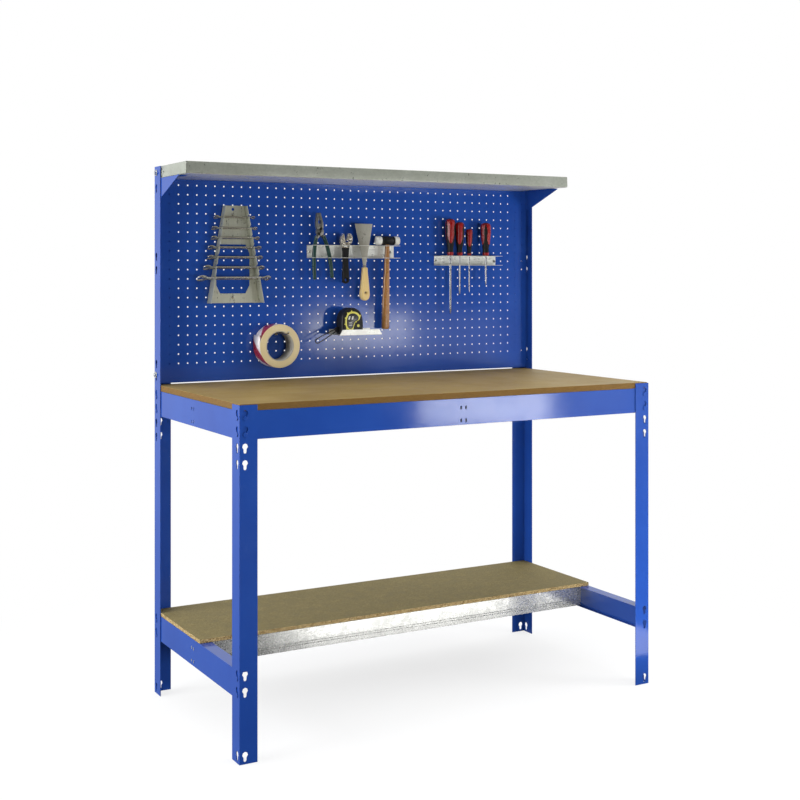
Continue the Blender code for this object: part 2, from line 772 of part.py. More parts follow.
def wire(points, radius, resolution=2):
    """A bent wire through the given points, as one closed mesh."""
    curve = bpy.data.curves.new("wire", "CURVE")
    curve.dimensions = "3D"
    curve.bevel_depth = radius
    curve.bevel_resolution = resolution
    curve.use_fill_caps = True
    spline = curve.splines.new("POLY")
    spline.points.add(len(points) - 1)
    for point, place in zip(spline.points, points):
        point.co = (*place, 1.0)
    return curve_to_mesh(curve, Matrix.Identity(4))


peg_x = hole_x(PEG_HOLE[0])
peg_z = hole_z(PEG_HOLE[1])
peg_line = [(peg_x, PANEL_Y + 0.006, peg_z), (peg_x, 0.212, peg_z)]
for n in range(1, 4):
    bend = math.radians(12 * n)
    peg_line.append((peg_x, 0.212 - 0.012 * math.sin(bend), peg_z + 0.012 * (1 - math.cos(bend))))
end = peg_line[-1]
peg_line.append((peg_x, end[1] - 0.0045, end[2] + 0.0035))
peg_plate = box((peg_x - 0.0050, peg_x + 0.0050), (RACK_FACE, RACK_BACK), (peg_z - 0.0070, peg_z + 0.0004))
peg = join(wire(peg_line, PEG_R), peg_plate)
finish("tape_peg", peg, STEEL)

# ---------------------------------------------------------------- spanners


def spanner_outline(length, head, width):
    """Open jaw on the left, ring on the right, as an outer loop and the ring's hole."""
    left = (-length / 2 + head, 0.0)
    ring_r = 0.80 * head
    right = (length / 2 - ring_r, 0.0)
    meet = math.degrees(math.asin(width / 2 / head))
    meet_ring = math.degrees(math.asin(width / 2 / ring_r))
    aim = math.radians(195)
    half = 0.45 * head
    spread = math.degrees(math.asin(0.45))
    n = (math.cos(aim), math.sin(aim))
    m = (-math.sin(aim), math.cos(aim))
    floor = -0.22 * head
    outline = arc(left, head, meet, 195 - spread, 6)
    for side in (-0.8, 0.8):
        outline.append((left[0] + floor * n[0] + side * half * m[0], left[1] + floor * n[1] + side * half * m[1]))
    outline += arc(left, head, 195 + spread, 360 - meet, 5)
    outline += arc(right, ring_r, 180 + meet_ring, 540 - meet_ring, 12)
    return outline, ring(right, 0.52 * ring_r, 12)


for index in range(len(SPANNERS)):
    length, head, width, thick, centre = spanner_sizes(index)
    loops = spanner_outline(length, head, width)
    mesh = plate("z", -thick / 2, thick / 2, *loops, frame=tilt_frame(centre))
    finish(f"spanner_{index + 1}", mesh, STEEL, centre)

# ---------------------------------------------------------------- pliers

pivot = PLIERS_PIVOT
LEAN = Matrix.Translation(pivot) @ Matrix.Rotation(math.radians(-5), 4, "Y")


def lever(side, layer):
    """One lever: jaw on one side of the nose, handle on the other side below."""
    s = side
    lap_r = 0.0115
    half = PLIERS_HALF_T
    jaw = [
        (s * 0.0006, 0.0130),
        (s * 0.0100, 0.0125),
        (s * 0.0110, 0.0260),
        (s * 0.0075, 0.0440),
        (s * 0.0030, 0.0560),
        (s * 0.0010, 0.0560),
    ]
    neck = [
        (s * 0.0012, 0.0060),
        (s * 0.0085, 0.0040),
        (s * 0.0098, 0.0170),
        (s * 0.0010, 0.0170),
    ]
    shoulder = [
        (-s * 0.0080, 0.0030),
        (s * 0.0010, -0.0080),
        (-s * 0.0145, -0.0240),
        (-s * 0.0190, -0.0210),
    ]
    grip = [
        (-s * 0.0125, -0.0165),
        (-s * 0.0190, -0.0140),
        (-s * 0.0285, -0.0450),
        (-s * 0.0330, -0.1020),
        (-s * 0.0330, -0.1340),
        (-s * 0.0235, -0.1400),
        (-s * 0.0225, -0.1020),
        (-s * 0.0175, -0.0480),
    ]
    if s < 0:
        jaw = jaw[::-1]
        neck = neck[::-1]
        shoulder = shoulder[::-1]
        grip = grip[::-1]
    thin = (-half, -GAP / 2) if layer == "front" else (GAP / 2, half)
    disc = plate("y", thin[0], thin[1], ring((0.0, 0.0), lap_r, 14), frame=LEAN)
    pieces = [
        plate("y", thin[0], thin[1], neck, frame=LEAN),
        plate("y", thin[0], thin[1], shoulder, frame=LEAN),
        plate("y", -half, half, jaw, frame=LEAN),
        plate("y", -half, half, grip, frame=LEAN),
    ]
    return join(disc, *pieces)


hinge_pin = rod(pivot + Vector((0, -0.003, 0)), pivot + Vector((0, PLIERS_HALF_T + 0.001, 0)), 0.0035, 12)
lever_a = join(lever(1, "front"), hinge_pin)
pin_room = rod(pivot + Vector((0, -0.02, 0)), pivot + Vector((0, 0.02, 0)), 0.0035 + GAP, 12)
lever_b = cut(lever(-1, "rear"), pin_room)
finish("pliers_lever_a", lever_a, GREEN, pivot)
finish("pliers_lever_b", lever_b, GREEN, pivot)

# ---------------------------------------------------------------- adjustable wrench

wrench_frame = Matrix.Translation((WRENCH_X, TOOL_Y, WRENCH_Z))
handle = [
    (-0.0105, -0.1040),
    (-0.0078, -0.1112),
    (0.0000, -0.1140),
    (0.0078, -0.1112),
    (0.0105, -0.1040),
    (0.0086, -0.0450),
    (0.0105, -0.0150),
    (0.0100, 0.0000),
    (-0.0100, 0.0000),
    (-0.0105, -0.0150),
    (-0.0086, -0.0450),
]
eye = ring((0.0, -0.1032), 0.0042, 12)
crown = [
    (-0.0100, -0.0015),
    (0.0125, -0.0015),
    (0.0200, 0.0100),
    (0.0215, 0.0152),
    (-0.0035, 0.0100),
    (-0.0068, 0.0325),
    (-0.0145, 0.0250),
    (-0.0175, 0.0100),
]
wrench = join(
    plate("y", -0.0055, 0.0055, handle, eye, frame=wrench_frame),
    plate("y", -0.0060, 0.0060, crown, frame=wrench_frame),
)
finish("wrench_body", wrench, STEEL)

JAW_DIRECTION = Vector((0.0250, 0.0, 0.0052)).normalized()
jaw_line = [
    (-0.0015, 0.0110),
    (0.0215, 0.0158),
    (0.0218, 0.0235),
    (0.0135, 0.0330),
    (0.0065, 0.0335),
    (0.0030, 0.0180),
]
wrench_jaw = plate("y", -0.0050, 0.0050, jaw_line, frame=wrench_frame)
finish("wrench_jaw", wrench_jaw, STEEL, (WRENCH_X, TOOL_Y, WRENCH_Z + 0.012))

# ---------------------------------------------------------------- scraper and mallet

blade = [
    (SCRAPER_X - 0.0045, 1.1580),
    (SCRAPER_X + 0.0045, 1.1580),
    (SCRAPER_X + 0.0055, 1.1800),
    (SCRAPER_X + 0.0265, 1.2980),
    (SCRAPER_X - 0.0325, 1.2980),
    (SCRAPER_X - 0.0060, 1.1800),
]
finish("scraper_blade", plate("y", TOOL_Y - 0.0006, TOOL_Y + 0.0006, blade), STEEL)

grip_line = arc((SCRAPER_X, 1.0848), 0.0148, 180, 360, 8)
grip_line += [(SCRAPER_X + 0.0142, 1.1020), (SCRAPER_X + 0.0072, 1.1680), (SCRAPER_X - 0.0072, 1.1680)]
grip_line += [(SCRAPER_X - 0.0142, 1.1020)]
hang_hole = ring((SCRAPER_X + 0.001, 1.0935), 0.0045, 10)
scraper_grip = plate("y", TOOL_Y - 0.0080, TOOL_Y + 0.0080, grip_line, hang_hole)
tang_room = box(
    (SCRAPER_X - 0.0052 - GAP, SCRAPER_X + 0.0050 + GAP),
    (TOOL_Y - 0.0006 - GAP, TOOL_Y + 0.0006 + GAP),
    (1.1580 - GAP, 1.1800),
)
finish("scraper_handle", cut(scraper_grip, tang_room), BEECH)

head_x = (MALLET_X - 0.0200, MALLET_X + 0.0235)
shaft_line = [
    (MALLET_X - 0.0055, MALLET_Z + 0.006),
    (MALLET_X - 0.0070, 1.1950),
    (MALLET_X - 0.0110, 1.1300),
    (MALLET_X - 0.0150, 1.0600),
    (MALLET_X - 0.0168, 0.9880),
    (MALLET_X - 0.0150, 0.9845),
    (MALLET_X + 0.0062, 0.9845),
    (MALLET_X + 0.0080, 0.9880),
    (MALLET_X + 0.0090, 1.0600),
    (MALLET_X + 0.0090, 1.1950),
    (MALLET_X + 0.0085, MALLET_Z + 0.006),
]
mallet_shaft = plate("y", TOOL_Y - 0.0075, TOOL_Y + 0.0075, shaft_line)
finish("mallet_handle", mallet_shaft, ASH)
mallet_y = TOOL_Y
mallet_body = rod((head_x[0], mallet_y, MALLET_Z), (head_x[1], mallet_y, MALLET_Z), 0.0130, 20)
socket = box(
    (MALLET_X - 0.0064, MALLET_X + 0.0092),
    (TOOL_Y - 0.0075 - GAP, TOOL_Y + 0.0075 + GAP),
    (MALLET_Z - 0.02, MALLET_Z + 0.006 + GAP),
)
finish("mallet_head", cut(mallet_body, socket), BLACK)
left_face = rod((head_x[0] - GAP, mallet_y, MALLET_Z), (MALLET_X - 0.0372, mallet_y, MALLET_Z), 0.0136, 20)
right_face = rod((head_x[1] + GAP, mallet_y, MALLET_Z), (MALLET_X + 0.0412, mallet_y, MALLET_Z), 0.0136, 20)
finish("mallet_face_left", left_face, WHITE)
finish("mallet_face_right", right_face, WHITE)

# ---------------------------------------------------------------- screwdrivers

for index, (x, top, tip, radius, shaft) in enumerate(DRIVERS):
    seat = DRIVER_RACK_Z[1] + GAP
    span = top - seat
    r = radius
    profile = [
        (0.0, top),
        (0.55 * r, top - 0.0010),
        (0.88 * r, top - 0.0070),
        (1.00 * r, top - 0.18 * span),
        (0.95 * r, top - 0.50 * span),
        (0.62 * r, top - 0.78 * span),
        (0.66 * r, seat + 0.0080),
        (0.58 * r, seat),
        (shaft, seat),
        (shaft, tip + 0.004),
        (0.0012, tip),
        (0.0, tip),
    ]
    mesh = turned(profile, (x, DRIVER_Y, 0.0), 12)
    finish(f"screwdriver_{index + 1}", mesh, RED, (x, DRIVER_Y, seat))

# ---------------------------------------------------------------- tape roll, tape measure

roll_rings = (ring((ROLL_X, ROLL_Z), ROLL_R, 32), ring((ROLL_X, ROLL_Z), ROLL_BORE, 24))
finish("tape_roll", plate("y", ROLL_Y[0], ROLL_Y[1], *roll_rings), WHITE, (ROLL_X, ROLL_Y[1], ROLL_Z))

case_x = -0.0440
case_z = CADDY_Z[0] + t + GAP
case_line = [
    (case_x + 0.0345, case_z),
    (case_x + 0.0320, case_z + 0.0300),
    *arc((case_x - 0.0020, case_z + 0.0430), 0.0345, 0, 170, 8),
    (case_x - 0.0355, case_z + 0.0120),
    (case_x - 0.0330, case_z),
]
case = plate("y", 0.2225, 0.2640, case_line)
case_origin = (case_x, 0.243, case_z)
finish("tape_measure_case", case, BLACK, case_origin)

strap = []
for n in range(15):
    angle = math.radians(-80 + 160 * n / 14)
    strap.append((case_x - 0.085 - 0.008 * math.cos(angle), 0.2440, 0.9640 + 0.0065 * math.sin(angle)))
strap_line = [(case_x - 0.0372, 0.2440, 0.9915), (case_x - 0.060, 0.2440, 0.9840)]
strap_line += [(u - 0.020, v, w - 0.006) for u, v, w in strap[::-1]]
strap_line += [(case_x - 0.065, 0.2440, 0.9710), (case_x - 0.0372, 0.2440, 0.9860)]
finish("tape_measure_strap", wire(strap_line, 0.0014, 1), BLACK, case_origin)
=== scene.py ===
"""Looks for the steel workbench with its tool panel, racks, hand tools and top tray."""

import json
from math import asin, atan2, copysign, cos, degrees, exp, pi, radians, sin, sqrt, tau

import bmesh
import bpy
from mathutils import Matrix, Vector

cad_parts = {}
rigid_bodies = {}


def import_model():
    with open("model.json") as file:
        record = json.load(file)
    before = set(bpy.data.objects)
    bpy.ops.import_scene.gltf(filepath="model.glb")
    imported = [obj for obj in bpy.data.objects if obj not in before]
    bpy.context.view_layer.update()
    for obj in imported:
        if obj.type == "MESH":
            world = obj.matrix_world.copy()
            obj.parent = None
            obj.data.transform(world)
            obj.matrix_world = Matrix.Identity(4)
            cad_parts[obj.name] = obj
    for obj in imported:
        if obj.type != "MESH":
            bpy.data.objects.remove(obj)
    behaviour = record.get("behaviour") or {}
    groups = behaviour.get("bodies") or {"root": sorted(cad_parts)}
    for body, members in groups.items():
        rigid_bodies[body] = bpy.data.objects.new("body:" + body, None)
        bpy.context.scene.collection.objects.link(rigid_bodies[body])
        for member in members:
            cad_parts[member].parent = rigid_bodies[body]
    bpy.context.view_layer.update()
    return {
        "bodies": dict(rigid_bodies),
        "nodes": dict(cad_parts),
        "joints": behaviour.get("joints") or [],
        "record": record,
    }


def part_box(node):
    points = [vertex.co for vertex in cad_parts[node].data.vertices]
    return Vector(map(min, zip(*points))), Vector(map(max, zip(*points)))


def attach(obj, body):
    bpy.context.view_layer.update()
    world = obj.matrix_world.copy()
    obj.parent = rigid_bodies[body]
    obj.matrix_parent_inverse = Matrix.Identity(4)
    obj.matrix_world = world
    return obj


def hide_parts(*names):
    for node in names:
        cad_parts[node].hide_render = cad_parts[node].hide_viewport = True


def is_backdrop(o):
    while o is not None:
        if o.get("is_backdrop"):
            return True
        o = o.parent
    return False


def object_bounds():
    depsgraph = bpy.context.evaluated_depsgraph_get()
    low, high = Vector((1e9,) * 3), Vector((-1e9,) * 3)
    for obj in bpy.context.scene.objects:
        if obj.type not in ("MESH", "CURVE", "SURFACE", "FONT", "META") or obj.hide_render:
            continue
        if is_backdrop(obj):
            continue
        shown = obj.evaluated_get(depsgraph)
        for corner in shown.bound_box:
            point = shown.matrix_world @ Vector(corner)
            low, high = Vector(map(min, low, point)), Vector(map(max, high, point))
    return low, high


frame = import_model()
nodes = frame["nodes"]
scene = bpy.context.scene

# ---------------------------------------------------------------- camera, light, floor

camera_data = bpy.data.cameras.new("camera")
camera_data.lens = 58.36
camera_data.sensor_width = 36
camera_data.shift_y = -0.1644
camera = bpy.data.objects.new("camera", camera_data)
camera.location = (-1.7818, -3.139, 1.1654)
camera.rotation_euler = (radians(90), 0, radians(-29.4))
scene.collection.objects.link(camera)
scene.camera = camera
scene.view_settings.view_transform = "Standard"


def linked(name, data):
    """A new object that is already in the scene."""
    made = bpy.data.objects.new(name, data)
    scene.collection.objects.link(made)
    return made


def area_light(name, place, aim, power, width, height, colour=(1, 1, 1), glossy=True):
    data = bpy.data.lights.new(name, "AREA")
    data.shape = "RECTANGLE"
    data.size = width
    data.size_y = height
    data.energy = power
    data.color = colour
    lamp = linked(name, data)
    lamp.location = place
    lamp.rotation_euler = (Vector(aim) - Vector(place)).to_track_quat("-Z", "Y").to_euler()
    lamp.visible_camera = False
    lamp.visible_glossy = glossy


area_light("glow", (1.6, -2.75, 0.82), (0.05, 0.28, 0.96), 2.7, 0.56, 0.17)
area_light("glow_beam", (1.65, -2.72, 0.5), (0.05, -0.3, 0.8), 4.3, 0.62, 0.2)
area_light("glow_edge", (2.2, -2.72, 0.62), (0.3, 0.28, 0.9), 0.9, 0.56, 0.6)
area_light("front", (0.32, -3.6, 0.8), (0.05, 0.28, 1.0), 29, 0.6, 0.6, glossy=False)
area_light("right", (2.0, -1.3, 0.75), (0.5, 0.0, 0.85), 27, 0.7, 1.0, glossy=False)
area_light("left", (-3.0, 0.1, 1.1), (-0.62, 0.1, 0.85), 96, 1.8, 1.8, (0.97, 0.985, 1.0))
area_light("top", (0.2, -0.7, 3.4), (0.1, 0, 0.8), 36, 2.0, 2.0, glossy=False)
area_light("low", (0.1, -2.0, 0.1), (0.25, 0.15, 1.41), 7, 1.2, 0.6, glossy=False)
area_light("bounce", (0.42, -0.72, 0.02), (0.42, -0.72, 1.0), 5.6, 1.0, 0.5)


class Nodes:
    """Short ways to add and link the nodes of one material, or of the world."""

    def __init__(self, tree):
        self.tree = tree

    def add(self, kind, inputs=None, output=0, **settings):
        """Add a node and return one of its outputs."""
        node = self.tree.nodes.new("ShaderNode" + kind)
        for key, value in settings.items():
            setattr(node, key, value)
        for key, value in (inputs or {}).items():
            if isinstance(value, bpy.types.NodeSocket):
                self.tree.links.new(value, node.inputs[key])
            else:
                node.inputs[key].default_value = value
        return node.outputs[output] if node.outputs else None

    def math(self, operation, *values):
        return self.add("Math", dict(enumerate(values)), operation=operation)

    def axis(self, vector, name):
        return self.add("SeparateXYZ", {0: vector}, name)

    def spread(self, value, low, high, start=0.3, end=0.7, **settings):
        """Low to high while the value goes from start to end."""
        return self.add("MapRange", {0: value, 1: start, 2: end, 3: low, 4: high}, **settings)

    def ease(self, value, low, high, start, end):
        return self.spread(value, low, high, start, end, interpolation_type="SMOOTHSTEP")

    def noise(self, scale, detail=3.0, roughness=0.55, stretch=None, offset=(0, 0, 0), vector=None):
        vector = vector or self.place
        if stretch is not None:
            vector = self.add("Mapping", {"Vector": vector, "Scale": stretch, "Location": offset})
        inputs = {"Vector": vector, "Scale": scale, "Detail": detail, "Roughness": roughness}
        return self.add("TexNoise", inputs)

    def ramp(self, factor, *stops):
        node = self.add("ValToRGB", {0: factor}).node
        band = node.color_ramp
        while len(band.elements) < len(stops):
            band.elements.new(0.5)
        for element, (where, colour) in zip(band.elements, stops):
            element.position = where
            element.color = (*colour, 1)
        return node.outputs[0]

    def mix(self, factor, first, second, blend="MIX"):
        first, second = ((*c, 1) if isinstance(c, tuple) else c for c in (first, second))
        inputs = {0: factor, 6: first, 7: second}
        return self.add("Mix", inputs, 2, data_type="RGBA", blend_type=blend)

    def shaded(self, base, tone):
        grey = self.add("CombineColor", {0: tone, 1: tone, 2: tone})
        return self.mix(1.0, base, grey, "MULTIPLY")

    def cells(self, scale, vector=None):
        """One random grey for each cell of a cracked pattern."""
        inputs = {"Vector": vector or self.place, "Scale": scale, "Randomness": 1.0}
        return self.add("SeparateColor", {0: self.add("TexVoronoi", inputs, "Color")})

    def facing(self, normal="Normal"):
        """How far the surface faces up: 1 on top, 0 on an upright, -1 below."""
        return self.axis(self.add("NewGeometry", output=normal), "Z")

    def level(self):
        """1 on level faces and 0 on upright edges."""
        return self.spread(self.math("ABSOLUTE", self.facing()), 0.0, 1.0, 0.35, 0.75)

    def about(self, centre):
        return self.add("Mapping", {"Vector": self.place, "Location": tuple(-c for c in centre)})

    def join(self, **sockets):
        for key, value in sockets.items():
            self.tree.links.new(value, self.shader.inputs[key.replace("_", " ")])

    def finish(self, base, gloss, limits, height, strength, depth):
        """Colour, uneven gloss and fine relief go to the shader."""
        relief = self.add("Bump", {"Height": height, "Strength": strength, "Distance": depth})
        self.join(Base_Color=base, Roughness=self.spread(gloss, *limits), Normal=relief)
        return self.made


def look(name, metallic=0.0, roughness=0.5, **sockets):
    """The nodes of a new material, with its shader and object coordinates."""
    made = bpy.data.materials.new(name)
    made.use_nodes = True
    m = Nodes(made.node_tree)
    m.made = made
    m.shader = made.node_tree.nodes["Principled BSDF"]
    for key, value in dict(Metallic=metallic, Roughness=roughness, **sockets).items():
        m.shader.inputs[key.replace("_", " ")].default_value = value
    m.place = m.add("TexCoord", output="Object")
    return m


world = bpy.data.worlds.new("studio")
scene.world = world
world.use_nodes = True
world.node_tree.nodes.clear()
sky = Nodes(world.node_tree)
x, y, z = (sky.axis(sky.add("TexCoord", output="Generated"), axis) for axis in "XYZ")
behind = sky.ease(y, 0.0, 0.72, -0.1, 0.45)
side = sky.ease(x, 0.0, 0.5, -0.55, -0.98)
wing = sky.ease(x, 0.0, 1.05, 0.58, 0.72)
above = sky.ease(z, 0.0, 0.7, 0.25, 0.95)
under = sky.ease(z, 0.3, 1.0, -0.3, -0.02)
glow = sky.math("ADD", sky.math("ADD", behind, sky.math("ADD", side, wing)), above)
glow = sky.math("ADD", sky.math("MULTIPLY", glow, under), 0.05)
soft = sky.add("Background", {"Color": (0.97, 0.98, 1.0, 1), "Strength": glow})
plain = sky.add("Background", {"Color": (1, 1, 1, 1), "Strength": 1.0})
seen = sky.add("LightPath", output="Is Camera Ray")
sky.add("OutputWorld", {"Surface": sky.add("MixShader", {0: seen, 1: soft, 2: plain})})

# ---------------------------------------------------------------- materials


def paint(name, dark, light):
    """Powder coat: orange peel, faint mottling, a few rubbed and dusty patches."""
    m = look(name)
    base = m.ramp(m.noise(5.0, 4.0, 0.6), (0.3, dark), (0.72, light))
    dust = m.spread(m.noise(38.0, 9.0, 0.78), 0.0, 0.035, 0.56, 0.8)
    base = m.mix(dust, base, (0.3, 0.36, 0.52))
    peel = m.noise(420.0, 2.0, 0.5)
    return m.finish(base, m.noise(14.0, 7.0, 0.7), (0.08, 0.14), peel, 0.035, 0.0005)


def sheet_metal(name, dark, light, limits, spangle=0.0, brushed=None,
                metallic=0.9, grime=0.25, under=None, relief=0.03):
    """Zinc-coated or plated steel: spangle or brushing, stains, uneven gloss, and optionally painted light
    on faces turned down.
    """
    m = look(name, metallic)
    base = m.ramp(m.noise(7.0, 6.0, 0.65), (0.32, dark), (0.7, light))
    gloss = m.noise(45.0, 6.0, 0.7)
    if spangle:
        grey = m.cells(spangle)
        base = m.shaded(base, m.spread(grey, 0.94, 1.05, 0.0, 1.0))
        gloss = m.math("ADD", gloss, m.spread(grey, -0.08, 0.08, 0.0, 1.0))
    if brushed:
        lines = m.noise(1.0, 4.0, 0.65, brushed)
        base = m.shaded(base, m.spread(lines, 0.94, 1.05))
        gloss = m.math("ADD", gloss, m.spread(lines, -0.1, 0.1))
    stain = m.spread(m.noise(1.0, 9.0, 0.75, (22, 22, 22), (3, 1, 2)), 0.0, grime, 0.55, 0.78)
    base = m.mix(stain, base, tuple(c * 0.45 for c in dark))
    # Faces turned down take the under colour: painted light, standing in for the light that reaches an
    # underside from below.
    if under:
        base = m.mix(m.spread(m.facing("True Normal"), 1.0, 0.0, -0.9, -0.4), base, under)
    return m.finish(base, gloss, limits, m.noise(160.0, 3.0, 0.55), relief, 0.0004)


def board(name):
    """Smooth brown hardboard, warmer and darker on its cut edges."""
    m = look(name, Specular_IOR_Level=0.22)
    fibre = m.noise(1.0, 7.0, 0.75, (70, 260, 260))
    face = m.ramp(m.noise(5.5, 5.0, 0.6), (0.3, (0.235, 0.158, 0.044)), (0.72, (0.308, 0.218, 0.073)))
    face = m.mix(m.spread(m.noise(850.0, 4.0, 0.7), 0.0, 0.55, 0.55, 0.75), face, (0.16, 0.1, 0.03))
    face = m.mix(m.spread(fibre, 0.0, 0.4, 0.55, 0.8), face, (0.43, 0.34, 0.17))
    layers = m.noise(1.0, 5.0, 0.7, (90, 90, 1100))
    edge = m.ramp(layers, (0.3, (0.11, 0.056, 0.01)), (0.7, (0.205, 0.112, 0.026)))
    base = m.mix(m.level(), edge, face)
    grainy = m.math("ADD", m.noise(900.0, 3.0, 0.7), fibre)
    return m.finish(base, m.noise(9.0, 8.0, 0.75), (0.42, 0.62), grainy, 0.16, 0.0005)


def chips(name):
    """Raw particle board: pressed flakes on the faces, coarse crumbs on the edges."""
    m = look(name, Specular_IOR_Level=0.18)
    flake = m.cells(420.0, m.add("Mapping", {"Vector": m.place, "Scale": (1.0, 1.6, 1.0)}))
    cloud = m.noise(26.0, 6.0, 0.7)
    tone = m.math("ADD", m.spread(flake, 0.0, 0.6, 0.0, 1.0), m.spread(cloud, 0.0, 0.5))
    dark, brown, pale = (0.145, 0.112, 0.038), (0.198, 0.158, 0.062), (0.28, 0.23, 0.104)
    face = m.ramp(tone, (0.05, dark), (0.55, brown), (1.0, pale))
    lower = (0.0, (0.09, 0.05, 0.016)), (0.35, (0.26, 0.17, 0.065))
    upper = (0.65, (0.4, 0.29, 0.12)), (1.0, (0.64, 0.5, 0.27))
    base = m.mix(m.level(), m.ramp(m.cells(620.0), *lower, *upper), face)
    return m.finish(base, cloud, (0.58, 0.8), flake, 0.35, 0.0006)


def wood(name, dark, mid, light, limits=(0.32, 0.48), coat=0.3):
    """Straight-grained turned wood along Z, lacquered."""
    m = look(name, Coat_Weight=coat, Coat_Roughness=0.18)
    long = m.add("Mapping", {"Vector": m.place, "Scale": (1, 1, 0.06)})
    wobble = m.add("TexNoise", {"Vector": long, "Scale": 30.0, "Detail": 3.0}, "Color")
    slight = m.add("VectorMath", {0: wobble, "Scale": 0.012}, operation="SCALE")
    bent = m.add("VectorMath", {0: long, 1: slight}, operation="ADD")
    bands = {"Vector": bent, "Scale": 120.0, "Distortion": 2.5, "Detail": 4.0}
    bands.update({"Detail Scale": 1.6, "Detail Roughness": 0.65})
    grain = m.add("TexWave", bands, "Fac", bands_direction="X")
    base = m.ramp(grain, (0.05, dark), (0.45, mid), (0.95, light))
    pores = m.noise(1.0, 5.0, 0.8, (1500, 1500, 60))
    base = m.mix(m.spread(pores, 0.0, 0.55, 0.58, 0.75), base, tuple(c * 0.45 for c in dark))
    return m.finish(base, m.noise(60.0, 5.0), limits, m.math("ADD", grain, pores), 0.1, 0.0004)


def moulded(name, dark, light, limits, strength=0.05, **sockets):
    """Moulded plastic or dipped grip: fine texture, handling marks, uneven gloss."""
    m = look(name, **sockets)
    base = m.ramp(m.noise(30.0, 6.0, 0.65), (0.3, dark), (0.72, light))
    marks = m.spread(m.noise(190.0, 8.0, 0.8), 0.0, 0.22, 0.58, 0.8)
    base = m.mix(marks, base, tuple(min(1.0, c * 1.5 + 0.02) for c in light))
    return m.finish(base, m.noise(80.0, 5.0), limits, m.noise(1800.0, 3.0, 0.6), strength, 0.0004)


BLUE = paint("blue_powder_coat", (0.0125, 0.056, 0.3), (0.0165, 0.07, 0.345))
# The pale under colour is painted light on the tray's underside, which is lit from below.
ZINC = sheet_metal(
    "galvanised_sheet", (0.38, 0.4, 0.335), (0.5, 0.525, 0.46), (0.26, 0.42),
    spangle=190.0, metallic=0.6, grime=0.1, under=(0.93, 0.93, 0.9),
)
# Paler than the tray's zinc: partly the rail's own bright galvanising and partly painted glare from the
# light pooled in front of the bench.
RAIL = sheet_metal(
    "galvanised_rail", (0.6, 0.6, 0.57), (0.8, 0.8, 0.77), (0.2, 0.34),
    spangle=230.0, brushed=(6, 500, 500), metallic=0.75, grime=0.08,
)
BRIGHT = sheet_metal(
    "bright_zinc_plate", (0.66, 0.67, 0.63), (0.84, 0.85, 0.81), (0.24, 0.38),
    brushed=(9, 700, 700), metallic=0.45, grime=0.1,
)
OLIVE = sheet_metal(
    "yellow_passivated_plate", (0.42, 0.43, 0.35), (0.6, 0.61, 0.51), (0.24, 0.4),
    brushed=(260, 500, 12), metallic=0.5, grime=0.12,
)
FASTENER = sheet_metal("plated_fastener", (0.5, 0.5, 0.47), (0.76, 0.76, 0.72), (0.18, 0.34), metallic=1.0)
CHROME = sheet_metal(
    "tool_chrome", (0.42, 0.415, 0.39), (0.66, 0.655, 0.62), (0.16, 0.32),
    brushed=(40, 700, 700), metallic=0.88, grime=0.28, relief=0.015,
)
SHAFT = sheet_metal(
    "driver_shaft_steel", (0.3, 0.3, 0.31), (0.5, 0.5, 0.5), (0.2, 0.34),
    brushed=(900, 900, 14), metallic=1.0, grime=0.06, relief=0.01,
)
BLADE = sheet_metal(
    "ground_blade_steel", (0.3, 0.29, 0.245), (0.42, 0.41, 0.355), (0.26, 0.42),
    brushed=(900, 900, 30), metallic=0.55, grime=0.2,
)
# Dark forged steel, darkened further as painted shade on the pliers' shoulders.
FORGED_SHADED = sheet_metal(
    "forged_steel_painted_shade", (0.17, 0.17, 0.155), (0.32, 0.315, 0.29), (0.24, 0.42), metallic=0.8, grime=0.45
)
WARM = sheet_metal(
    "nickel_crown", (0.58, 0.53, 0.43), (0.84, 0.79, 0.67), (0.16, 0.34), metallic=0.75, grime=0.35
)
# Near-black sheet: painted shade, so the centre cross bar seen through the front beam's slots reads as the
# shade in them.
PAINTED_SHADE_SHEET = sheet_metal("painted_shade_sheet", (0.02, 0.022, 0.026), (0.04, 0.042, 0.046), (0.4, 0.6), metallic=0.3)
BOARD = board("hardboard")
CHIPS = chips("particle_board")
BEECH = wood("beech_handle", (0.55, 0.385, 0.14), (0.62, 0.45, 0.175), (0.69, 0.52, 0.225))
ASH = wood(
    "stained_ash_handle", (0.15, 0.058, 0.014), (0.285, 0.125, 0.031), (0.42, 0.205, 0.062),
    limits=(0.22, 0.4), coat=0.5,
)
GREEN = moulded("green_dipped_grip", (0.004, 0.026, 0.02), (0.008, 0.046, 0.036), (0.24, 0.42))
BLACK = moulded(
    "black_plastic", (0.0045, 0.0047, 0.0052), (0.0095, 0.0098, 0.0105), (0.3, 0.46),
    Specular_IOR_Level=0.35,
)
RUBBER = moulded(
    "black_rubber_grip", (0.0045, 0.0047, 0.005), (0.009, 0.009, 0.0095), (0.45, 0.65),
    strength=0.06, Specular_IOR_Level=0.3,
)
RED = moulded("red_plastic", (0.21, 0.004, 0.005), (0.3, 0.008, 0.008), (0.24, 0.38), strength=0.03)
YELLOW = moulded("yellow_plastic", (0.56, 0.52, 0.09), (0.74, 0.7, 0.16), (0.28, 0.42))
NYLON = moulded(
    "white_nylon", (0.58, 0.58, 0.54), (0.74, 0.74, 0.7), (0.34, 0.52),
    Subsurface_Weight=0.12, Subsurface_Radius=(0.004, 0.003, 0.002),
)
LABEL = moulded("label_film", (0.03, 0.031, 0.034), (0.055, 0.056, 0.06), (0.18, 0.28))


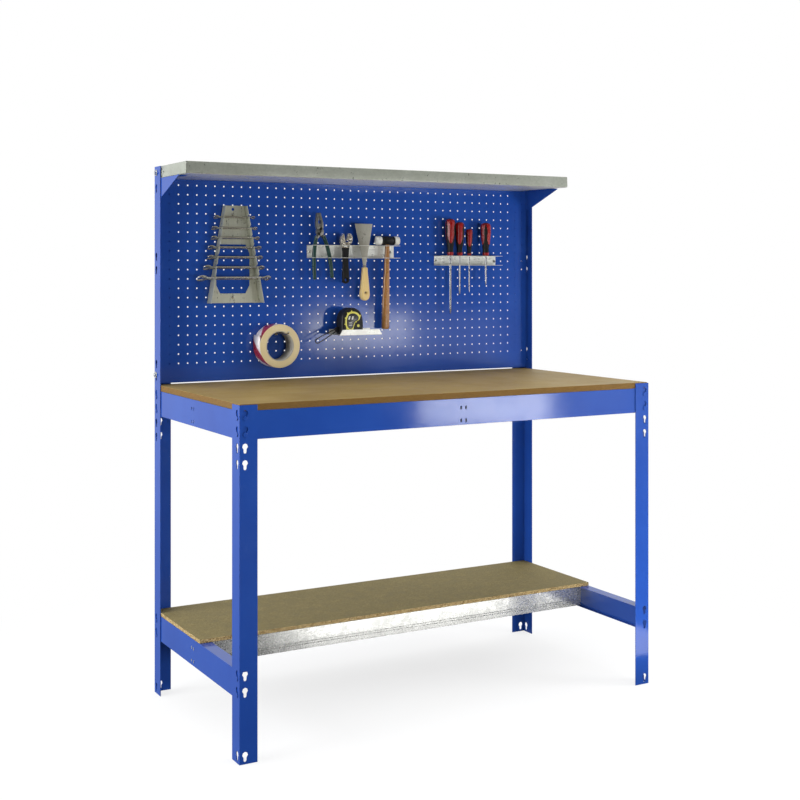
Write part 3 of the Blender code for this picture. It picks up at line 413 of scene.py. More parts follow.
def tape_paper(name, centre):
    """The roll's flat side: hundreds of wound layers as fine rings."""
    m = look(name)
    place = m.about(centre)
    flat = m.add("CombineXYZ", {0: m.axis(place, "X"), 1: m.axis(place, "Z")})
    radius = m.add("VectorMath", {0: flat}, "Value", operation="LENGTH")
    along = m.add("CombineXYZ", {0: radius})
    layer = m.noise(2600.0, 5.0, 0.75, vector=along)
    base = m.ramp(layer, (0.3, (0.52, 0.42, 0.22)), (0.7, (0.7, 0.6, 0.37)))
    wide = m.spread(m.noise(320.0, 3.0, 0.5, vector=along), 0.0, 0.35, 0.5, 0.75)
    base = m.mix(wide, base, (0.45, 0.35, 0.17))
    smear = m.spread(m.noise(40.0, 6.0, 0.7), 0.0, 0.2, 0.5, 0.75)
    base = m.mix(smear, base, (0.75, 0.68, 0.47))
    return m.finish(base, m.noise(120.0, 4.0), (0.38, 0.6), layer, 0.25, 0.0004)


def striped_tape(name, centre, radius):
    """The outer winding: white film with slanting red bars, faintly creased."""
    m = look(name, Coat_Weight=0.4, Coat_Roughness=0.12)
    x, y, z = (m.axis(m.about(centre), axis) for axis in "XYZ")
    slant = m.math("ADD", m.math("MULTIPLY", m.math("ARCTAN2", z, x), radius), y)
    bar = m.spread(m.math("PINGPONG", slant, 0.0487), 0.0, 1.0, 0.0235, 0.0243)
    dull = m.noise(50.0, 5.0, 0.7)
    red = m.ramp(dull, (0.3, (0.26, 0.012, 0.02)), (0.7, (0.38, 0.025, 0.035)))
    pale = m.ramp(dull, (0.3, (0.6, 0.55, 0.54)), (0.7, (0.78, 0.74, 0.73)))
    crease = m.noise(1.0, 4.0, 0.7, (160, 20, 160))
    return m.finish(m.mix(bar, pale, red), dull, (0.22, 0.4), crease, 0.3, 0.0006)


def webbing(name):
    """A woven black cord: crossing ribs and loose fibre."""
    m = look(name, Sheen_Weight=0.3, Sheen_Roughness=0.5)
    ribs = []
    for vector in (m.place, m.add("Mapping", {"Vector": m.place, "Scale": (-1, 1, 1)})):
        rib = {"Vector": vector, "Scale": 520.0, "Distortion": 1.2, "Detail": 2.0}
        ribs.append(m.add("TexWave", rib, "Fac", bands_direction="DIAGONAL"))
    weave = m.math("MULTIPLY", *ribs)
    base = m.ramp(weave, (0.1, (0.004, 0.004, 0.005)), (0.8, (0.026, 0.026, 0.028)))
    return m.finish(base, weave, (0.8, 0.55, 0.0, 1.0), weave, 0.6, 0.0005)


def cardboard(name):
    """The roll's core: pale pressed paper with loose fibres."""
    m = look(name)
    fibre = m.noise(400.0, 6.0, 0.75)
    cloud = m.noise(45.0, 5.0, 0.7)
    base = m.ramp(cloud, (0.3, (0.3, 0.285, 0.25)), (0.72, (0.46, 0.44, 0.39)))
    base = m.mix(m.spread(fibre, 0.0, 0.5, 0.5, 0.8), base, (0.2, 0.17, 0.13))
    return m.finish(base, cloud, (0.65, 0.85), fibre, 0.3, 0.0004)


WEB = webbing("woven_cord")
CORE = cardboard("cardboard_core")

bm = bmesh.new()
bmesh.ops.create_circle(bm, cap_ends=True, segments=96, radius=30.0)
floor_mesh = bpy.data.meshes.new("floor")
bm.to_mesh(floor_mesh)
bm.free()
floor = linked("floor", floor_mesh)
floor.location.z = -0.0005
floor.visible_diffuse = False
floor.visible_glossy = False
m = look("pale_floor", roughness=0.9, Specular_IOR_Level=0.0)
m.join(Base_Color=m.ramp(m.noise(2.0, 3.0), (0.3, (0.86, 0.86, 0.86)), (0.7, (0.89, 0.89, 0.89))))
lit = m.add("Emission", {"Color": (1, 1, 1, 1), "Strength": 1.0})
distance = m.add("VectorMath", {0: m.place}, "Value", operation="LENGTH")
faded = m.add("MixShader", {0: m.ease(distance, 0.72, 1.0, 0.35, 1.5), 1: m.shader.outputs[0], 2: lit})
m.tree.links.new(faded, m.tree.nodes["Material Output"].inputs["Surface"])
floor_mesh.materials.append(m.made)
floor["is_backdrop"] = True

# ---------------------------------------------------------------- modelling helpers

AXES = {
    "x": Matrix(((0, 0, 1, 0), (1, 0, 0, 0), (0, 1, 0, 0), (0, 0, 0, 1))),
    "y": Matrix(((1, 0, 0, 0), (0, 0, -1, 0), (0, 1, 0, 0), (0, 0, 0, 1))),
    "z": Matrix.Identity(4),
}


def made_mesh(bm, tidy=True):
    """Turn a bmesh into a mesh and let go of it."""
    if tidy:
        bmesh.ops.recalc_face_normals(bm, faces=bm.faces)
    mesh = bpy.data.meshes.new("mesh")
    bm.to_mesh(mesh)
    bm.free()
    return mesh


def piece(name, mesh, finish, body, slot, replaces=(), angle=38):
    """Put a mesh in the scene as a named piece that moves with a body."""
    finishes = finish if isinstance(finish, (list, tuple)) else [finish]
    if not mesh.materials:
        for entry in finishes:
            mesh.materials.append(entry)
    mesh.shade_smooth()
    mesh.set_sharp_from_angle(angle=radians(angle))
    mesh.name = name
    made = linked(name, mesh)
    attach(made, body)
    if replaces:
        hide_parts(*replaces)
    return made


def merged(*meshes):
    """Several meshes in one."""
    bm = bmesh.new()
    for mesh in meshes:
        bm.from_mesh(mesh)
        bpy.data.meshes.remove(mesh)
    return made_mesh(bm)


def placed(mesh, matrix):
    mesh.transform(matrix)
    return mesh


def plate(axis, low, high, *loops, soften=0.0004, steps=2, frame=None):
    """A flat outline with holes, given thickness and rounded edges."""
    soften = min(soften, (high - low) * 0.499)
    curve = bpy.data.curves.new("outline", "CURVE")
    curve.dimensions = "2D"
    curve.fill_mode = "BOTH"
    curve.extrude = (high - low) / 2 - soften
    curve.bevel_depth = soften
    curve.bevel_resolution = steps
    curve.offset = -soften
    for loop in loops:
        spline = curve.splines.new("POLY")
        spline.points.add(len(loop) - 1)
        for point, (u, v) in zip(spline.points, loop):
            point.co = (u, v, 0.0, 1.0)
        spline.use_cyclic_u = True
    holder = linked("outline", curve)
    graph = bpy.context.evaluated_depsgraph_get()
    mesh = bpy.data.meshes.new_from_object(holder.evaluated_get(graph))
    bpy.data.objects.remove(holder)
    bpy.data.curves.remove(curve)
    shift = Vector((0, 0, 0))
    shift["xyz".index(axis)] = (low + high) / 2
    matrix = Matrix.Translation(shift) @ AXES[axis]
    if frame is not None:
        matrix = frame @ matrix
    bm = bmesh.new()
    bm.from_mesh(mesh)
    bpy.data.meshes.remove(mesh)
    bmesh.ops.transform(bm, matrix=matrix, verts=bm.verts)
    bmesh.ops.remove_doubles(bm, verts=bm.verts, dist=0.000004)
    return made_mesh(bm)


def arc(centre, radius, start, end, steps):
    points = []
    for n in range(steps + 1):
        angle = radians(start + (end - start) * n / steps)
        points.append((centre[0] + radius * cos(angle), centre[1] + radius * sin(angle)))
    return points


def ring(centre, radius, segments=24):
    return arc(centre, radius, 0, 360 - 360 / segments, segments - 1)


def rounded(u, v, radius, steps=4):
    """A rectangle with round corners."""
    points = []
    for (cu, cv), start in (
        ((u[1] - radius, v[1] - radius), 0),
        ((u[0] + radius, v[1] - radius), 90),
        ((u[0] + radius, v[0] + radius), 180),
        ((u[1] - radius, v[0] + radius), 270),
    ):
        points += arc((cu, cv), radius, start, start + 90, steps)
    return points


def between(p0, p1, p2, p3, t):
    """A point of the smooth curve from p1 to p2, at t from 0 to 1."""
    square = (2 * p0 - 5 * p1 + 4 * p2 - p3) * t * t
    return 0.5 * (2 * p1 + (p2 - p0) * t + square + (3 * p1 - p0 - 3 * p2 + p3) * t ** 3)


def smooth_loop(points, per=6):
    """A closed smooth outline through the given points."""
    result = []
    count = len(points)
    for n in range(count):
        ends = [Vector(points[(n + k) % count]) for k in (-1, 0, 1, 2)]
        result += [tuple(between(*ends, step / per)) for step in range(per)]
    return result


def smooth_line(points, per=6):
    """An open smooth line through the given points."""
    result = []
    last = len(points) - 1
    for n in range(last):
        ends = [Vector(points[min(max(n + k, 0), last)]) for k in (-1, 0, 1, 2)]
        result += [between(*ends, step / per) for step in range(per)]
    return result + [Vector(points[-1])]


def at(u, v, *points):
    """The points moved by (u, v)."""
    return [(u + a, v + b) for a, b in points]


def both_sides(u, *points):
    """An outline symmetric about the upright at u, from its right half."""
    half = [(u + a, b) for a, b in points]
    return half + [(u - a, b) for a, b in points[::-1] if a]


def loft(sections, mark=None, caps=True):
    """Skin through closed loops of equal length; mark(row, column) gives a material number."""
    bm = bmesh.new()
    rows = [[bm.verts.new(point) for point in loop] for loop in sections]
    width = len(rows[0])
    for r in range(len(rows) - 1):
        for c in range(width):
            d = (c + 1) % width
            face = bm.faces.new((rows[r][c], rows[r][d], rows[r + 1][d], rows[r + 1][c]))
            if mark is not None:
                face.material_index = mark(r, c)
    if caps:
        bm.faces.new(rows[0][::-1])
        bm.faces.new(rows[-1])
    return made_mesh(bm)


def lathe(profile, frame, segments=32):
    """Solid of revolution about the frame's Z; the profile is (radius, height)."""
    turns = [tau * n / segments for n in range(segments)]
    sections = []
    for radius, height in profile:
        radius = max(radius, 0.00002)
        sections.append([(radius * cos(a), radius * sin(a), height) for a in turns])
    return placed(loft(sections), frame)


def oval(wide, deep, power, count):
    """Points of a soft-cornered oval; the power is 1 for an ellipse and less when fuller."""
    points = []
    for k in range(count):
        c, s = cos(tau * k / count), sin(tau * k / count)
        u, v = copysign(abs(c) ** power, c) * wide, copysign(abs(s) ** power, s) * deep
        points.append((u, v))
    return points


def swept(path, half_wide, half_deep, frame=Matrix.Identity(4), segments=20, power=2.4):
    """A soft-cornered bar along a line in the XZ plane; half sizes are functions of 0…1."""
    sections = []
    count = len(path)
    for n, spot in enumerate(path):
        t = n / (count - 1)
        along = (path[min(n + 1, count - 1)] - path[max(n - 1, 0)]).normalized()
        across = Vector((along.z, 0, -along.x))
        loop = oval(half_wide(t), half_deep(t), 2 / power, segments)
        sections.append([spot + across * u + Vector((0, v, 0)) for u, v in loop])
    return placed(loft(sections), frame)


def rod(start, end, radius, segments=24, soften=0.0003):
    """A round bar with softened rims."""
    start, end = Vector(start), Vector(end)
    length = (end - start).length
    soften = min(soften, length * 0.3, radius * 0.5)
    nearly = soften * 0.3
    rim = [(0, 0), (radius - soften, 0), (radius - nearly, nearly), (radius, soften)]
    profile = rim + [(u, length - v) for u, v in rim[::-1]]
    turn = (end - start).to_track_quat("Z", "Y").to_matrix().to_4x4()
    return lathe(profile, Matrix.Translation(start) @ turn, segments)


def block(x, y, z, soften=0.0004):
    """A box with rounded edges."""
    bm = bmesh.new()
    bmesh.ops.create_cube(bm, size=1.0)
    size = Matrix.Diagonal((x[1] - x[0], y[1] - y[0], z[1] - z[0], 1.0))
    middle = Matrix.Translation((sum(x) / 2, sum(y) / 2, sum(z) / 2))
    bmesh.ops.transform(bm, matrix=middle @ size, verts=bm.verts)
    bmesh.ops.bevel(bm, geom=bm.edges, offset=soften, segments=2, affect="EDGES", profile=0.6)
    return made_mesh(bm, tidy=False)


def finish_node(name, finish, width=0.0004, segments=2):
    """Give a CAD node its material and soften its folded or cut edges."""
    node = nodes[name]
    for slot in node.material_slots:
        slot.material = finish
    if width:
        weld = node.modifiers.new("weld", "WELD")
        weld.merge_threshold = 0.000002
        bevel = node.modifiers.new("soften", "BEVEL")
        bevel.width = width
        bevel.segments = segments
        bevel.limit_method = "ANGLE"
        bevel.angle_limit = radians(40)
        bevel.harden_normals = True


# ---------------------------------------------------------------- parts kept from the CAD

for end in ("left", "right"):
    for name, width in (
        ("post_front", 0.0006),
        ("post_rear", 0.0006),
        ("top_beam", 0.0005),
        ("lower_beam", 0.0005),
        ("bracket", 0.0004),
    ):
        finish_node(f"{name}_{end}", BLUE, width)
    finish_node(f"tray_bolt_{end}", FASTENER, 0.0003)
    finish_node(f"panel_bolt_{end}", FASTENER, 0.0003)
for name in ("top_beam_front", "top_beam_rear", "lower_beam_rear"):
    finish_node(name, BLUE, 0.0005)
finish_node("lower_rail_front", RAIL, 0.0003)
# The zinc cross bar is painted near-black: painted shade behind the front beam's slots.
finish_node("centre_cross_bar", PAINTED_SHADE_SHEET, 0.0003)
finish_node("worktop", BOARD, 0.001, 3)
finish_node("lower_shelf", CHIPS, 0.0006)
finish_node("spanner_rack", OLIVE, 0.0003)
for name in ("tool_rack", "driver_rack", "small_shelf"):
    finish_node(name, BRIGHT, 0.0003)
finish_node("tape_peg", FASTENER, 0.0)

low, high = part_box("lower_rail_front")
ends = [(x, low.y + 0.0004) for x in (low.x + 0.004, high.x - 0.004)]
levels = (low.z + 0.013, low.z + 0.019, high.z - 0.0105)
beads = [rod((*ends[0], z), (*ends[1], z), 0.0011, 10) for z in levels]
piece("lower_rail_beads", merged(*beads), RAIL, "bench", "zinc_sheet")

# ---------------------------------------------------------------- perforated panel

PANEL_Y = 0.2875
HOLE_X0, HOLE_DX, COLUMNS = -0.5543, 0.02674, range(-2, 44)
HOLE_Z0, HOLE_DZ, ROWS = 1.3962, 0.02598, range(0, 20)
HOLE_R = 0.0022
panel_low, panel_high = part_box("pegboard_panel")
panel_back = panel_high.y


def hole_x(column):
    return HOLE_X0 + HOLE_DX * column


def hole_z(row):
    return HOLE_Z0 - HOLE_DZ * row


def perforated(face_y, sheet):
    """The panel's face with every hole cut through the sheet."""
    bm = bmesh.new()
    xs = [(hole_x(c) + hole_x(c + 1)) / 2 for c in COLUMNS][:-1]
    xs = [panel_low.x + 0.0004, *xs, panel_high.x - 0.0004]
    zs = [(hole_z(r) + hole_z(r + 1)) / 2 for r in ROWS][:-1]
    zs = [panel_high.z, *zs, panel_low.z]
    sides = 14
    rims = []
    for depth, outward in ((0.0, -1), (sheet, 1)):
        y = face_y + depth
        grid = [[bm.verts.new((x, y, z)) for x in xs] for z in zs]
        layer = []
        for i, row in enumerate(ROWS):
            for j, column in enumerate(COLUMNS):
                cx, cz = hole_x(column), hole_z(row)
                rim = []
                for n in range(sides):
                    a = tau * n / sides
                    rim.append(bm.verts.new((cx + HOLE_R * cos(a), y, cz + HOLE_R * sin(a))))
                layer.append(rim)
                corners = [grid[i][j + 1], grid[i][j], grid[i + 1][j], grid[i + 1][j + 1]]
                owner = [int(((n + 0.5) * 4 / sides)) % 4 for n in range(sides)]
                for n in range(sides):
                    m = (n + 1) % sides
                    k = owner[n]
                    bm.faces.new((corners[k], rim[n], rim[m]))
                    if owner[m] != k:
                        bm.faces.new((corners[k], rim[m], corners[owner[m]]))
        rims.append(layer)
        if depth == 0.0:
            first = grid
        else:
            for a, b in ((first[0], grid[0]), (first[-1], grid[-1])):
                for n in range(len(xs) - 1):
                    bm.faces.new((a[n], a[n + 1], b[n + 1], b[n]))
            for col in (0, -1):
                for n in range(len(zs) - 1):
                    bm.faces.new((first[n][col], first[n + 1][col], grid[n + 1][col], grid[n][col]))
    for front, rear in zip(*rims):
        for n in range(sides):
            m = (n + 1) % sides
            bm.faces.new((front[n], front[m], rear[m], rear[n]))
    return made_mesh(bm)


face = perforated(PANEL_Y, 0.001)
piece("tool_panel_face", face, BLUE, "bench", "blue_paint", ["pegboard_panel"], angle=30)
sheet = 0.001
side_top = 1.4104
folds = []
for x in (panel_low.x, panel_high.x - sheet):
    folds.append(block((x, x + sheet), (panel_low.y, panel_back), (panel_low.z, side_top), 0.0003))
between_sides = (panel_low.x + 0.0011, panel_high.x - 0.0011)
for z in (panel_high.z - sheet, panel_low.z):
    folds.append(block(between_sides, (PANEL_Y + 0.0011, panel_back), (z, z + sheet), 0.0003))
piece("tool_panel_folds", merged(*folds), BLUE, "bench", "blue_paint")

# ---------------------------------------------------------------- top tray with folded rims and open corners

tray_low, tray_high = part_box("top_tray")


def strip(section, x0, x1):
    """A folded section in (y, z) drawn along X, as a closed solid."""
    return loft([[Vector((x, y, z)) for y, z in section] for x in (x0, x1)])


def thick(line, t):
    """An open line of (u, v) points turned into a closed band of thickness t."""
    points = [Vector(p) for p in line]
    offset = []
    for n, p in enumerate(points):
        a = points[max(n - 1, 0)]
        b = points[min(n + 1, len(points) - 1)]
        d = (b - a).normalized()
        offset.append(p + Vector((-d.y, d.x)) * t)
    return [tuple(p) for p in points] + [tuple(p) for p in offset[::-1]]


t = 0.001
front_y, rear_y = tray_low.y, tray_high.y
z0, z1 = tray_low.z, tray_high.z
fold = at(front_y, z1, (0.008, -0.0036), (0.008, -0.0006), (0.0074, 0.0), (0.0016, 0.0))
fold += arc((front_y + 0.0016, z1 - 0.0016), 0.0016, 90, 180, 4)
fold += arc((front_y + 0.0022, z0 + 0.0022), 0.0022, 180, 270, 5)
fold += [(rear_y - 0.003, z0)]
front_wall = strip(thick(fold[::-1], -t)[::-1], tray_low.x + 0.0034, tray_high.x - 0.0034)
rear = at(rear_y, z0, (-0.0032, 0.0014), (-t, 0.0028))
rear += at(rear_y, z1, (-t, -0.0016), (-0.009, -0.002))
rear_wall = strip(thick(rear, -t), tray_low.x + 0.0012, tray_high.x - 0.0012)
tray_parts = [front_wall, rear_wall]
for side in (-1, 1):
    x = tray_high.x if side > 0 else tray_low.x
    outline = [(front_y + 0.0024, z1 - 0.0004)]
    outline += at(front_y, z0, (0.0014, 0.003), (0.004, 0.0006))
    outline += [(rear_y - 0.0006, z0 + 0.0006), (rear_y - 0.0006, z1 - 0.0004)]
    bores = [ring((y, 1.428), 0.0032, 16) for y in (0.2905, 0.2455)]
    wall = sorted((x, x - side * t))
    tray_parts.append(plate("x", wall[0], wall[1], outline, *bores, soften=0.0003))
    lip = sorted((x - side * 0.0011, x - side * 0.0085))
    lip_deep = (front_y + 0.004, rear_y - 0.011)
    tray_parts.append(block(lip, lip_deep, (z1 - 0.0014, z1 - 0.0004), 0.0003))
    tab = sorted((x - side * 0.0012, x - side * 0.01))
    tab_deep = (front_y + 0.0018, front_y + 0.0028)
    tray_parts.append(block(tab, tab_deep, (z0 + 0.004, z1 - 0.0045), 0.0003))
piece("top_tray_folded", merged(*tray_parts), ZINC, "bench", "zinc_sheet", ["top_tray"], angle=50)

# ---------------------------------------------------------------- screws

TWIST = 0.35


def cross_head(spot, radius, height):
    """A pan head with a cross recess, its face towards -Y."""
    rings = [0.0, 0.1, 0.18, 0.26, 0.34, 0.42, 0.5, 0.56, 0.62, 0.7, 0.8, 0.9, 0.97, 1.0]
    angles = [tau * n / 48 + TWIST for n in range(48)]
    sections = [[(radius * cos(a), 0.0003, radius * sin(a)) for a in angles]]
    for q in rings[::-1]:
        loop = []
        for a in angles:
            dome = height * sqrt(max(0.0, 1 - (q * 0.96) ** 2))
            from_slot = min(abs(cos(a - TWIST) * q), abs(sin(a - TWIST) * q))
            if q < 0.6 and from_slot < 0.125:
                dome -= height * 0.85 * (1 - q / 0.75)
            loop.append((q * cos(a) * radius, -dome, q * sin(a) * radius))
        sections.append(loop)
    return loft([[Vector(p) + Vector(spot) for p in loop] for loop in sections])


for name in (
    "spanner_rack_screw_top",
    "spanner_rack_screw_bottom",
    "tool_rack_screw_left",
    "tool_rack_screw_right",
    "driver_rack_screw_left",
    "driver_rack_screw_right",
):
    low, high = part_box(name)
    x, z = (low.x + high.x) / 2, (low.z + high.z) / 2
    seat = 0.286 - 0.0003
    parts_of = [
        cross_head((x, seat, z), 0.0046, seat - low.y),
        rod((x, seat + 0.0002, z), (x, high.y, z), 0.0023, 16),
        plate("y", PANEL_Y + 0.0013, PANEL_Y + 0.005, ring((x, z), 0.005, 6)),
    ]
    piece(f"{name}_detail", merged(*parts_of), FASTENER, "bench", "fastener_steel", [name], angle=30)

# ---------------------------------------------------------------- spanners

TILT = radians(30)
# height, left end, right end
SPANNERS = (
    (1.3095, -0.4564, -0.33),
    (1.2785, -0.4633, -0.3231),
    (1.251, -0.4652, -0.3163),
    (1.224, -0.4756, -0.3114),
    (1.1965, -0.4774, -0.3079),
    (1.1677, -0.4897, -0.3031),
    (1.138, -0.5086, -0.2843),
)
JAW_TURN = 195
JAW_GAP = 0.45
RING_TEETH = 24


def make_spanner(index):
    """An open jaw on the left, a toothed ring on the right and two ribs between them."""
    z, left, right = SPANNERS[index]
    length = right - left
    head = 0.068 * length
    width = 0.72 * head
    deep = 0.003 + 0.0022 * index / 6
    across = Vector((1, 0, 0))
    out = Vector((0, -cos(TILT), sin(TILT)))
    centre = ((left + right) / 2, 0.2861 - head * cos(TILT) - deep * 0.5, z)
    turn = Matrix((across, out, across.cross(out))).transposed().to_4x4()
    frame = Matrix.Translation(centre) @ turn
    ring_r = 0.8 * head
    jaw = (-length / 2 + head, 0.0)
    loop = (length / 2 - ring_r, 0.0)
    aim = radians(JAW_TURN)

    def jaw_at(along, over):
        """A point of the jaw, in head radii along its axis and half gaps across it."""
        along, over = along * head, over * JAW_GAP * head
        return (
            jaw[0] + along * cos(aim) - over * sin(aim),
            jaw[1] + along * sin(aim) + over * cos(aim),
        )

    gap = degrees(asin(JAW_GAP)) + 5
    meet = degrees(asin(width / 2 / head)) + 10
    meet_ring = degrees(asin(min(0.95, width * 0.46 / ring_r))) + 8
    neck_left, neck_right = jaw[0] + head * 1.35, loop[0] - ring_r * 1.25
    mouth = [(0.82, -1), (0.25, -1), (-0.173, -0.75), (-0.3375, 0), (-0.173, 0.75), (0.25, 1), (0.82, 1)]
    outline = arc(jaw, head, meet, JAW_TURN - gap, 18)
    outline += [jaw_at(*spot) for spot in mouth]
    outline += arc(jaw, head, JAW_TURN + gap, 360 - meet, 14)
    outline += [(neck_left, -width * 0.46), (neck_right, -width * 0.45)]
    outline += arc(loop, ring_r, 180 + meet_ring, 540 - meet_ring, 30)
    outline += [(neck_right, width * 0.45), (neck_left, width * 0.46)]
    star = []
    for k in range(RING_TEETH):
        r, a = 0.52 * ring_r * (1.05 if k % 2 else 0.93), tau * k / RING_TEETH
        star.append((loop[0] + r * cos(a), loop[1] + r * sin(a)))
    shank = plate("z", -deep * 0.43, deep * 0.43, outline, star, soften=deep * 0.24, steps=3, frame=frame)
    disc = ring(loop, ring_r * 0.95, 36)
    cheek = plate("z", -deep / 2, deep / 2, disc, star, soften=deep * 0.16, frame=frame)
    ribs = []
    for low, high in ((-0.46, -0.24), (0.24, 0.46)):
        long = (jaw[0] + head * 1.6, loop[0] - ring_r * 1.5)
        rib = rounded(long, (low * width, high * width), width * 0.1)
        ribs.append(plate("z", -deep * 0.475, deep * 0.475, rib, soften=deep * 0.1, frame=frame))
    name = f"spanner_{index + 1}"
    mesh = merged(shank, cheek, *ribs)
    piece(f"{name}_forging", mesh, CHROME, name, "tool_steel", [name])


for index in range(len(SPANNERS)):
    make_spanner(index)

# ---------------------------------------------------------------- pliers

TOOL_Y = 0.264
PIVOT = Vector((-0.1325, TOOL_Y, 1.272))
LEAN = Matrix.Translation(PIVOT) @ Matrix.Rotation(radians(-5), 4, "Y")
# outlines of one lever, in its own (u, v) about the pivot
PLIERS_JAW = [
    (0.0008, 0.0095), (0.0104, 0.0085), (0.0118, 0.017), (0.0112, 0.027), (0.0088, 0.04),
    (0.0058, 0.053), (0.0046, 0.0556), (0.0012, 0.0556),
    *[(0.0007 if k % 2 else 0.0015, 0.054 - 0.018 * k / 8) for k in range(9)],
    (0.0016, 0.0345), (0.0042, 0.0318), (0.0046, 0.029), (0.0042, 0.0262), (0.0014, 0.0238),
    (0.0006, 0.0215),
]
SHOULDER = [
    (0.0095, 0.0125), (0.004, 0.004), (0.0, -0.007), (-0.0068, -0.018),
    (-0.013, -0.019), (-0.014, -0.013), (-0.0105, -0.004), (0.0005, 0.012),
]
NECK = [(-0.007, -0.011), (-0.0145, -0.011), (-0.0185, -0.024), (-0.011, -0.025)]
GRIP = [
    (-0.0118, -0.0135), (-0.0152, -0.025), (-0.0202, -0.044), (-0.0246, -0.07),
    (-0.027, -0.098), (-0.028, -0.12), (-0.0284, -0.1376),
]
RIVET = [(0, 0.0051), (0.003, 0.0051), (0.003, 0.0063), (0.004, 0.0065), (0.0052, 0.0061), (0.0056, 0.0052)]


def round_end(t):
    return 1.0 if t < 0.965 else sqrt(max(0.02, 1 - ((t - 0.965) / 0.036) ** 2))


def grip_wide(t):
    flare = 0.00098 * exp(-((t - 0.02) / 0.035) ** 2)
    return (0.0049 + 0.0007 * sin(pi * min(1, t * 1.1)) + flare) * round_end(t)


def grip_deep(t):
    return (0.005 + 0.0006 * sin(pi * t)) * round_end(t)


def make_lever(side, half, name, body):
    """One steel lever with its dipped grip; its halves lap in front of or behind the rivet."""
    def flat(points):
        return [(side * u, v) for u, v in points]

    deep = 0.0055
    thin = (-deep, -0.0001) if half == "front" else (0.0001, deep)
    jaw = flat(PLIERS_JAW)[::-side]
    neck = smooth_loop(flat(NECK), 4)
    steel = [
        plate("y", -deep, deep, jaw, soften=0.0007, frame=LEAN),
        plate("y", *thin, smooth_loop(flat(SHOULDER), 5), soften=0.0008, frame=LEAN),
        plate("y", *thin, ring((0, 0), 0.0117, 40), soften=0.0009, frame=LEAN),
        plate("y", -deep * 0.78, deep * 0.78, neck, soften=0.0006, frame=LEAN),
    ]
    if half == "front":
        steel.append(lathe(RIVET[::-1], LEAN @ Matrix.Rotation(radians(90), 4, "X")))
        pin = [PIVOT + Vector((0, y, 0)) for y in (-0.003, 0.0063)]
        steel.append(rod(*pin, 0.0034))
    piece(f"{name}_steel", merged(*steel), FORGED_SHADED, body, "green_grip", [name])
    line = smooth_line([(u, 0, v) for u, v in flat(GRIP)], 8)
    grip = swept(line, grip_wide, grip_deep, LEAN, 24, 2.6)
    piece(f"{name}_grip", grip, GREEN, body, "green_grip")


make_lever(1, "front", "pliers_lever_a", "pliers")
make_lever(-1, "rear", "pliers_lever_b", "pliers_second_lever")

# ---------------------------------------------------------------- adjustable wrench

WRENCH = Matrix.Translation((-0.0485, TOOL_Y, 1.235))
grip_line = smooth_loop(both_sides(
    0, (0.0, -0.1139), (0.0078, -0.1112), (0.0104, -0.103), (0.0096, -0.08),
    (0.0085, -0.045), (0.0096, -0.02), (0.0104, -0.0095), (0.006, -0.008),
), 5)
hang_hole = ring((0, -0.1032), 0.0042)
grip = plate("y", -0.0055, 0.0055, grip_line, hang_hole, soften=0.0024, steps=4, frame=WRENCH)
piece("wrench_grip", grip, RUBBER, "wrench", "black_plastic")
crown_line = [
    (-0.009, -0.0085), (0.0088, -0.0085), (0.0105, -0.002), (0.0165, 0.0045),
    (0.0205, 0.0105), (0.0214, 0.015), (0.013, 0.0135), (0.0122, 0.0098),
    (-0.002, 0.0072), (-0.0034, 0.0105), (-0.005, 0.021), (-0.0066, 0.0324),
    (-0.0086, 0.0318), (-0.0142, 0.0255), (-0.0172, 0.0175), (-0.0176, 0.0095),
    (-0.0145, 0.001), (-0.0105, -0.004),
]
window = rounded((-0.002, 0.0092), (-0.001, 0.0052), 0.0008)
crown = plate("y", -0.0059, 0.0059, crown_line, window, soften=0.0011, steps=3, frame=WRENCH)
THREADS, THREAD_STEPS = 6, 59
worm = [(0, -0.0016)]
for k in range(THREAD_STEPS + 1):
    u = k / THREAD_STEPS
    worm.append((0.0026 + 0.0004 * cos(u * tau * THREADS), -0.0016 + 0.0104 * u))
worm.append((0, worm[-1][1]))
along_x = Matrix.Rotation(radians(90), 4, "Y")
worm_mesh = lathe(worm, WRENCH @ Matrix.Translation((0, 0, 0.0021)) @ along_x, 24)
tongue_line = rounded((-0.005, 0.005), (-0.03, -0.006), 0.002)
tongue = plate("y", -0.0052, 0.0052, tongue_line, soften=0.0008, frame=WRENCH)
crown = merged(crown, worm_mesh, tongue)
piece("wrench_crown", crown, WARM, "wrench", "tool_steel", ["wrench_body"])
jaw_line = [
    (-0.001, 0.0114), (0.0205, 0.0158), (0.0216, 0.019), (0.0216, 0.0232),
    (0.019, 0.0278), (0.0138, 0.0328), (0.0092, 0.0338), (0.0066, 0.0332),
    (0.0048, 0.026), (0.0033, 0.0184), (0.0014, 0.016),
]
jaw = plate("y", -0.0049, 0.0049, jaw_line, soften=0.001, steps=3, frame=WRENCH)
piece("wrench_jaw_forging", jaw, WARM, "wrench_sliding_jaw", "tool_steel", ["wrench_jaw"])

# ---------------------------------------------------------------- scraper

SX = 0.015


def upright(half, *loops, **edges):
    """A plate of a tool that hangs flat, half as thick to each side of the tools' plane."""
    return plate("y", TOOL_Y - half, TOOL_Y + half, *loops, **edges)


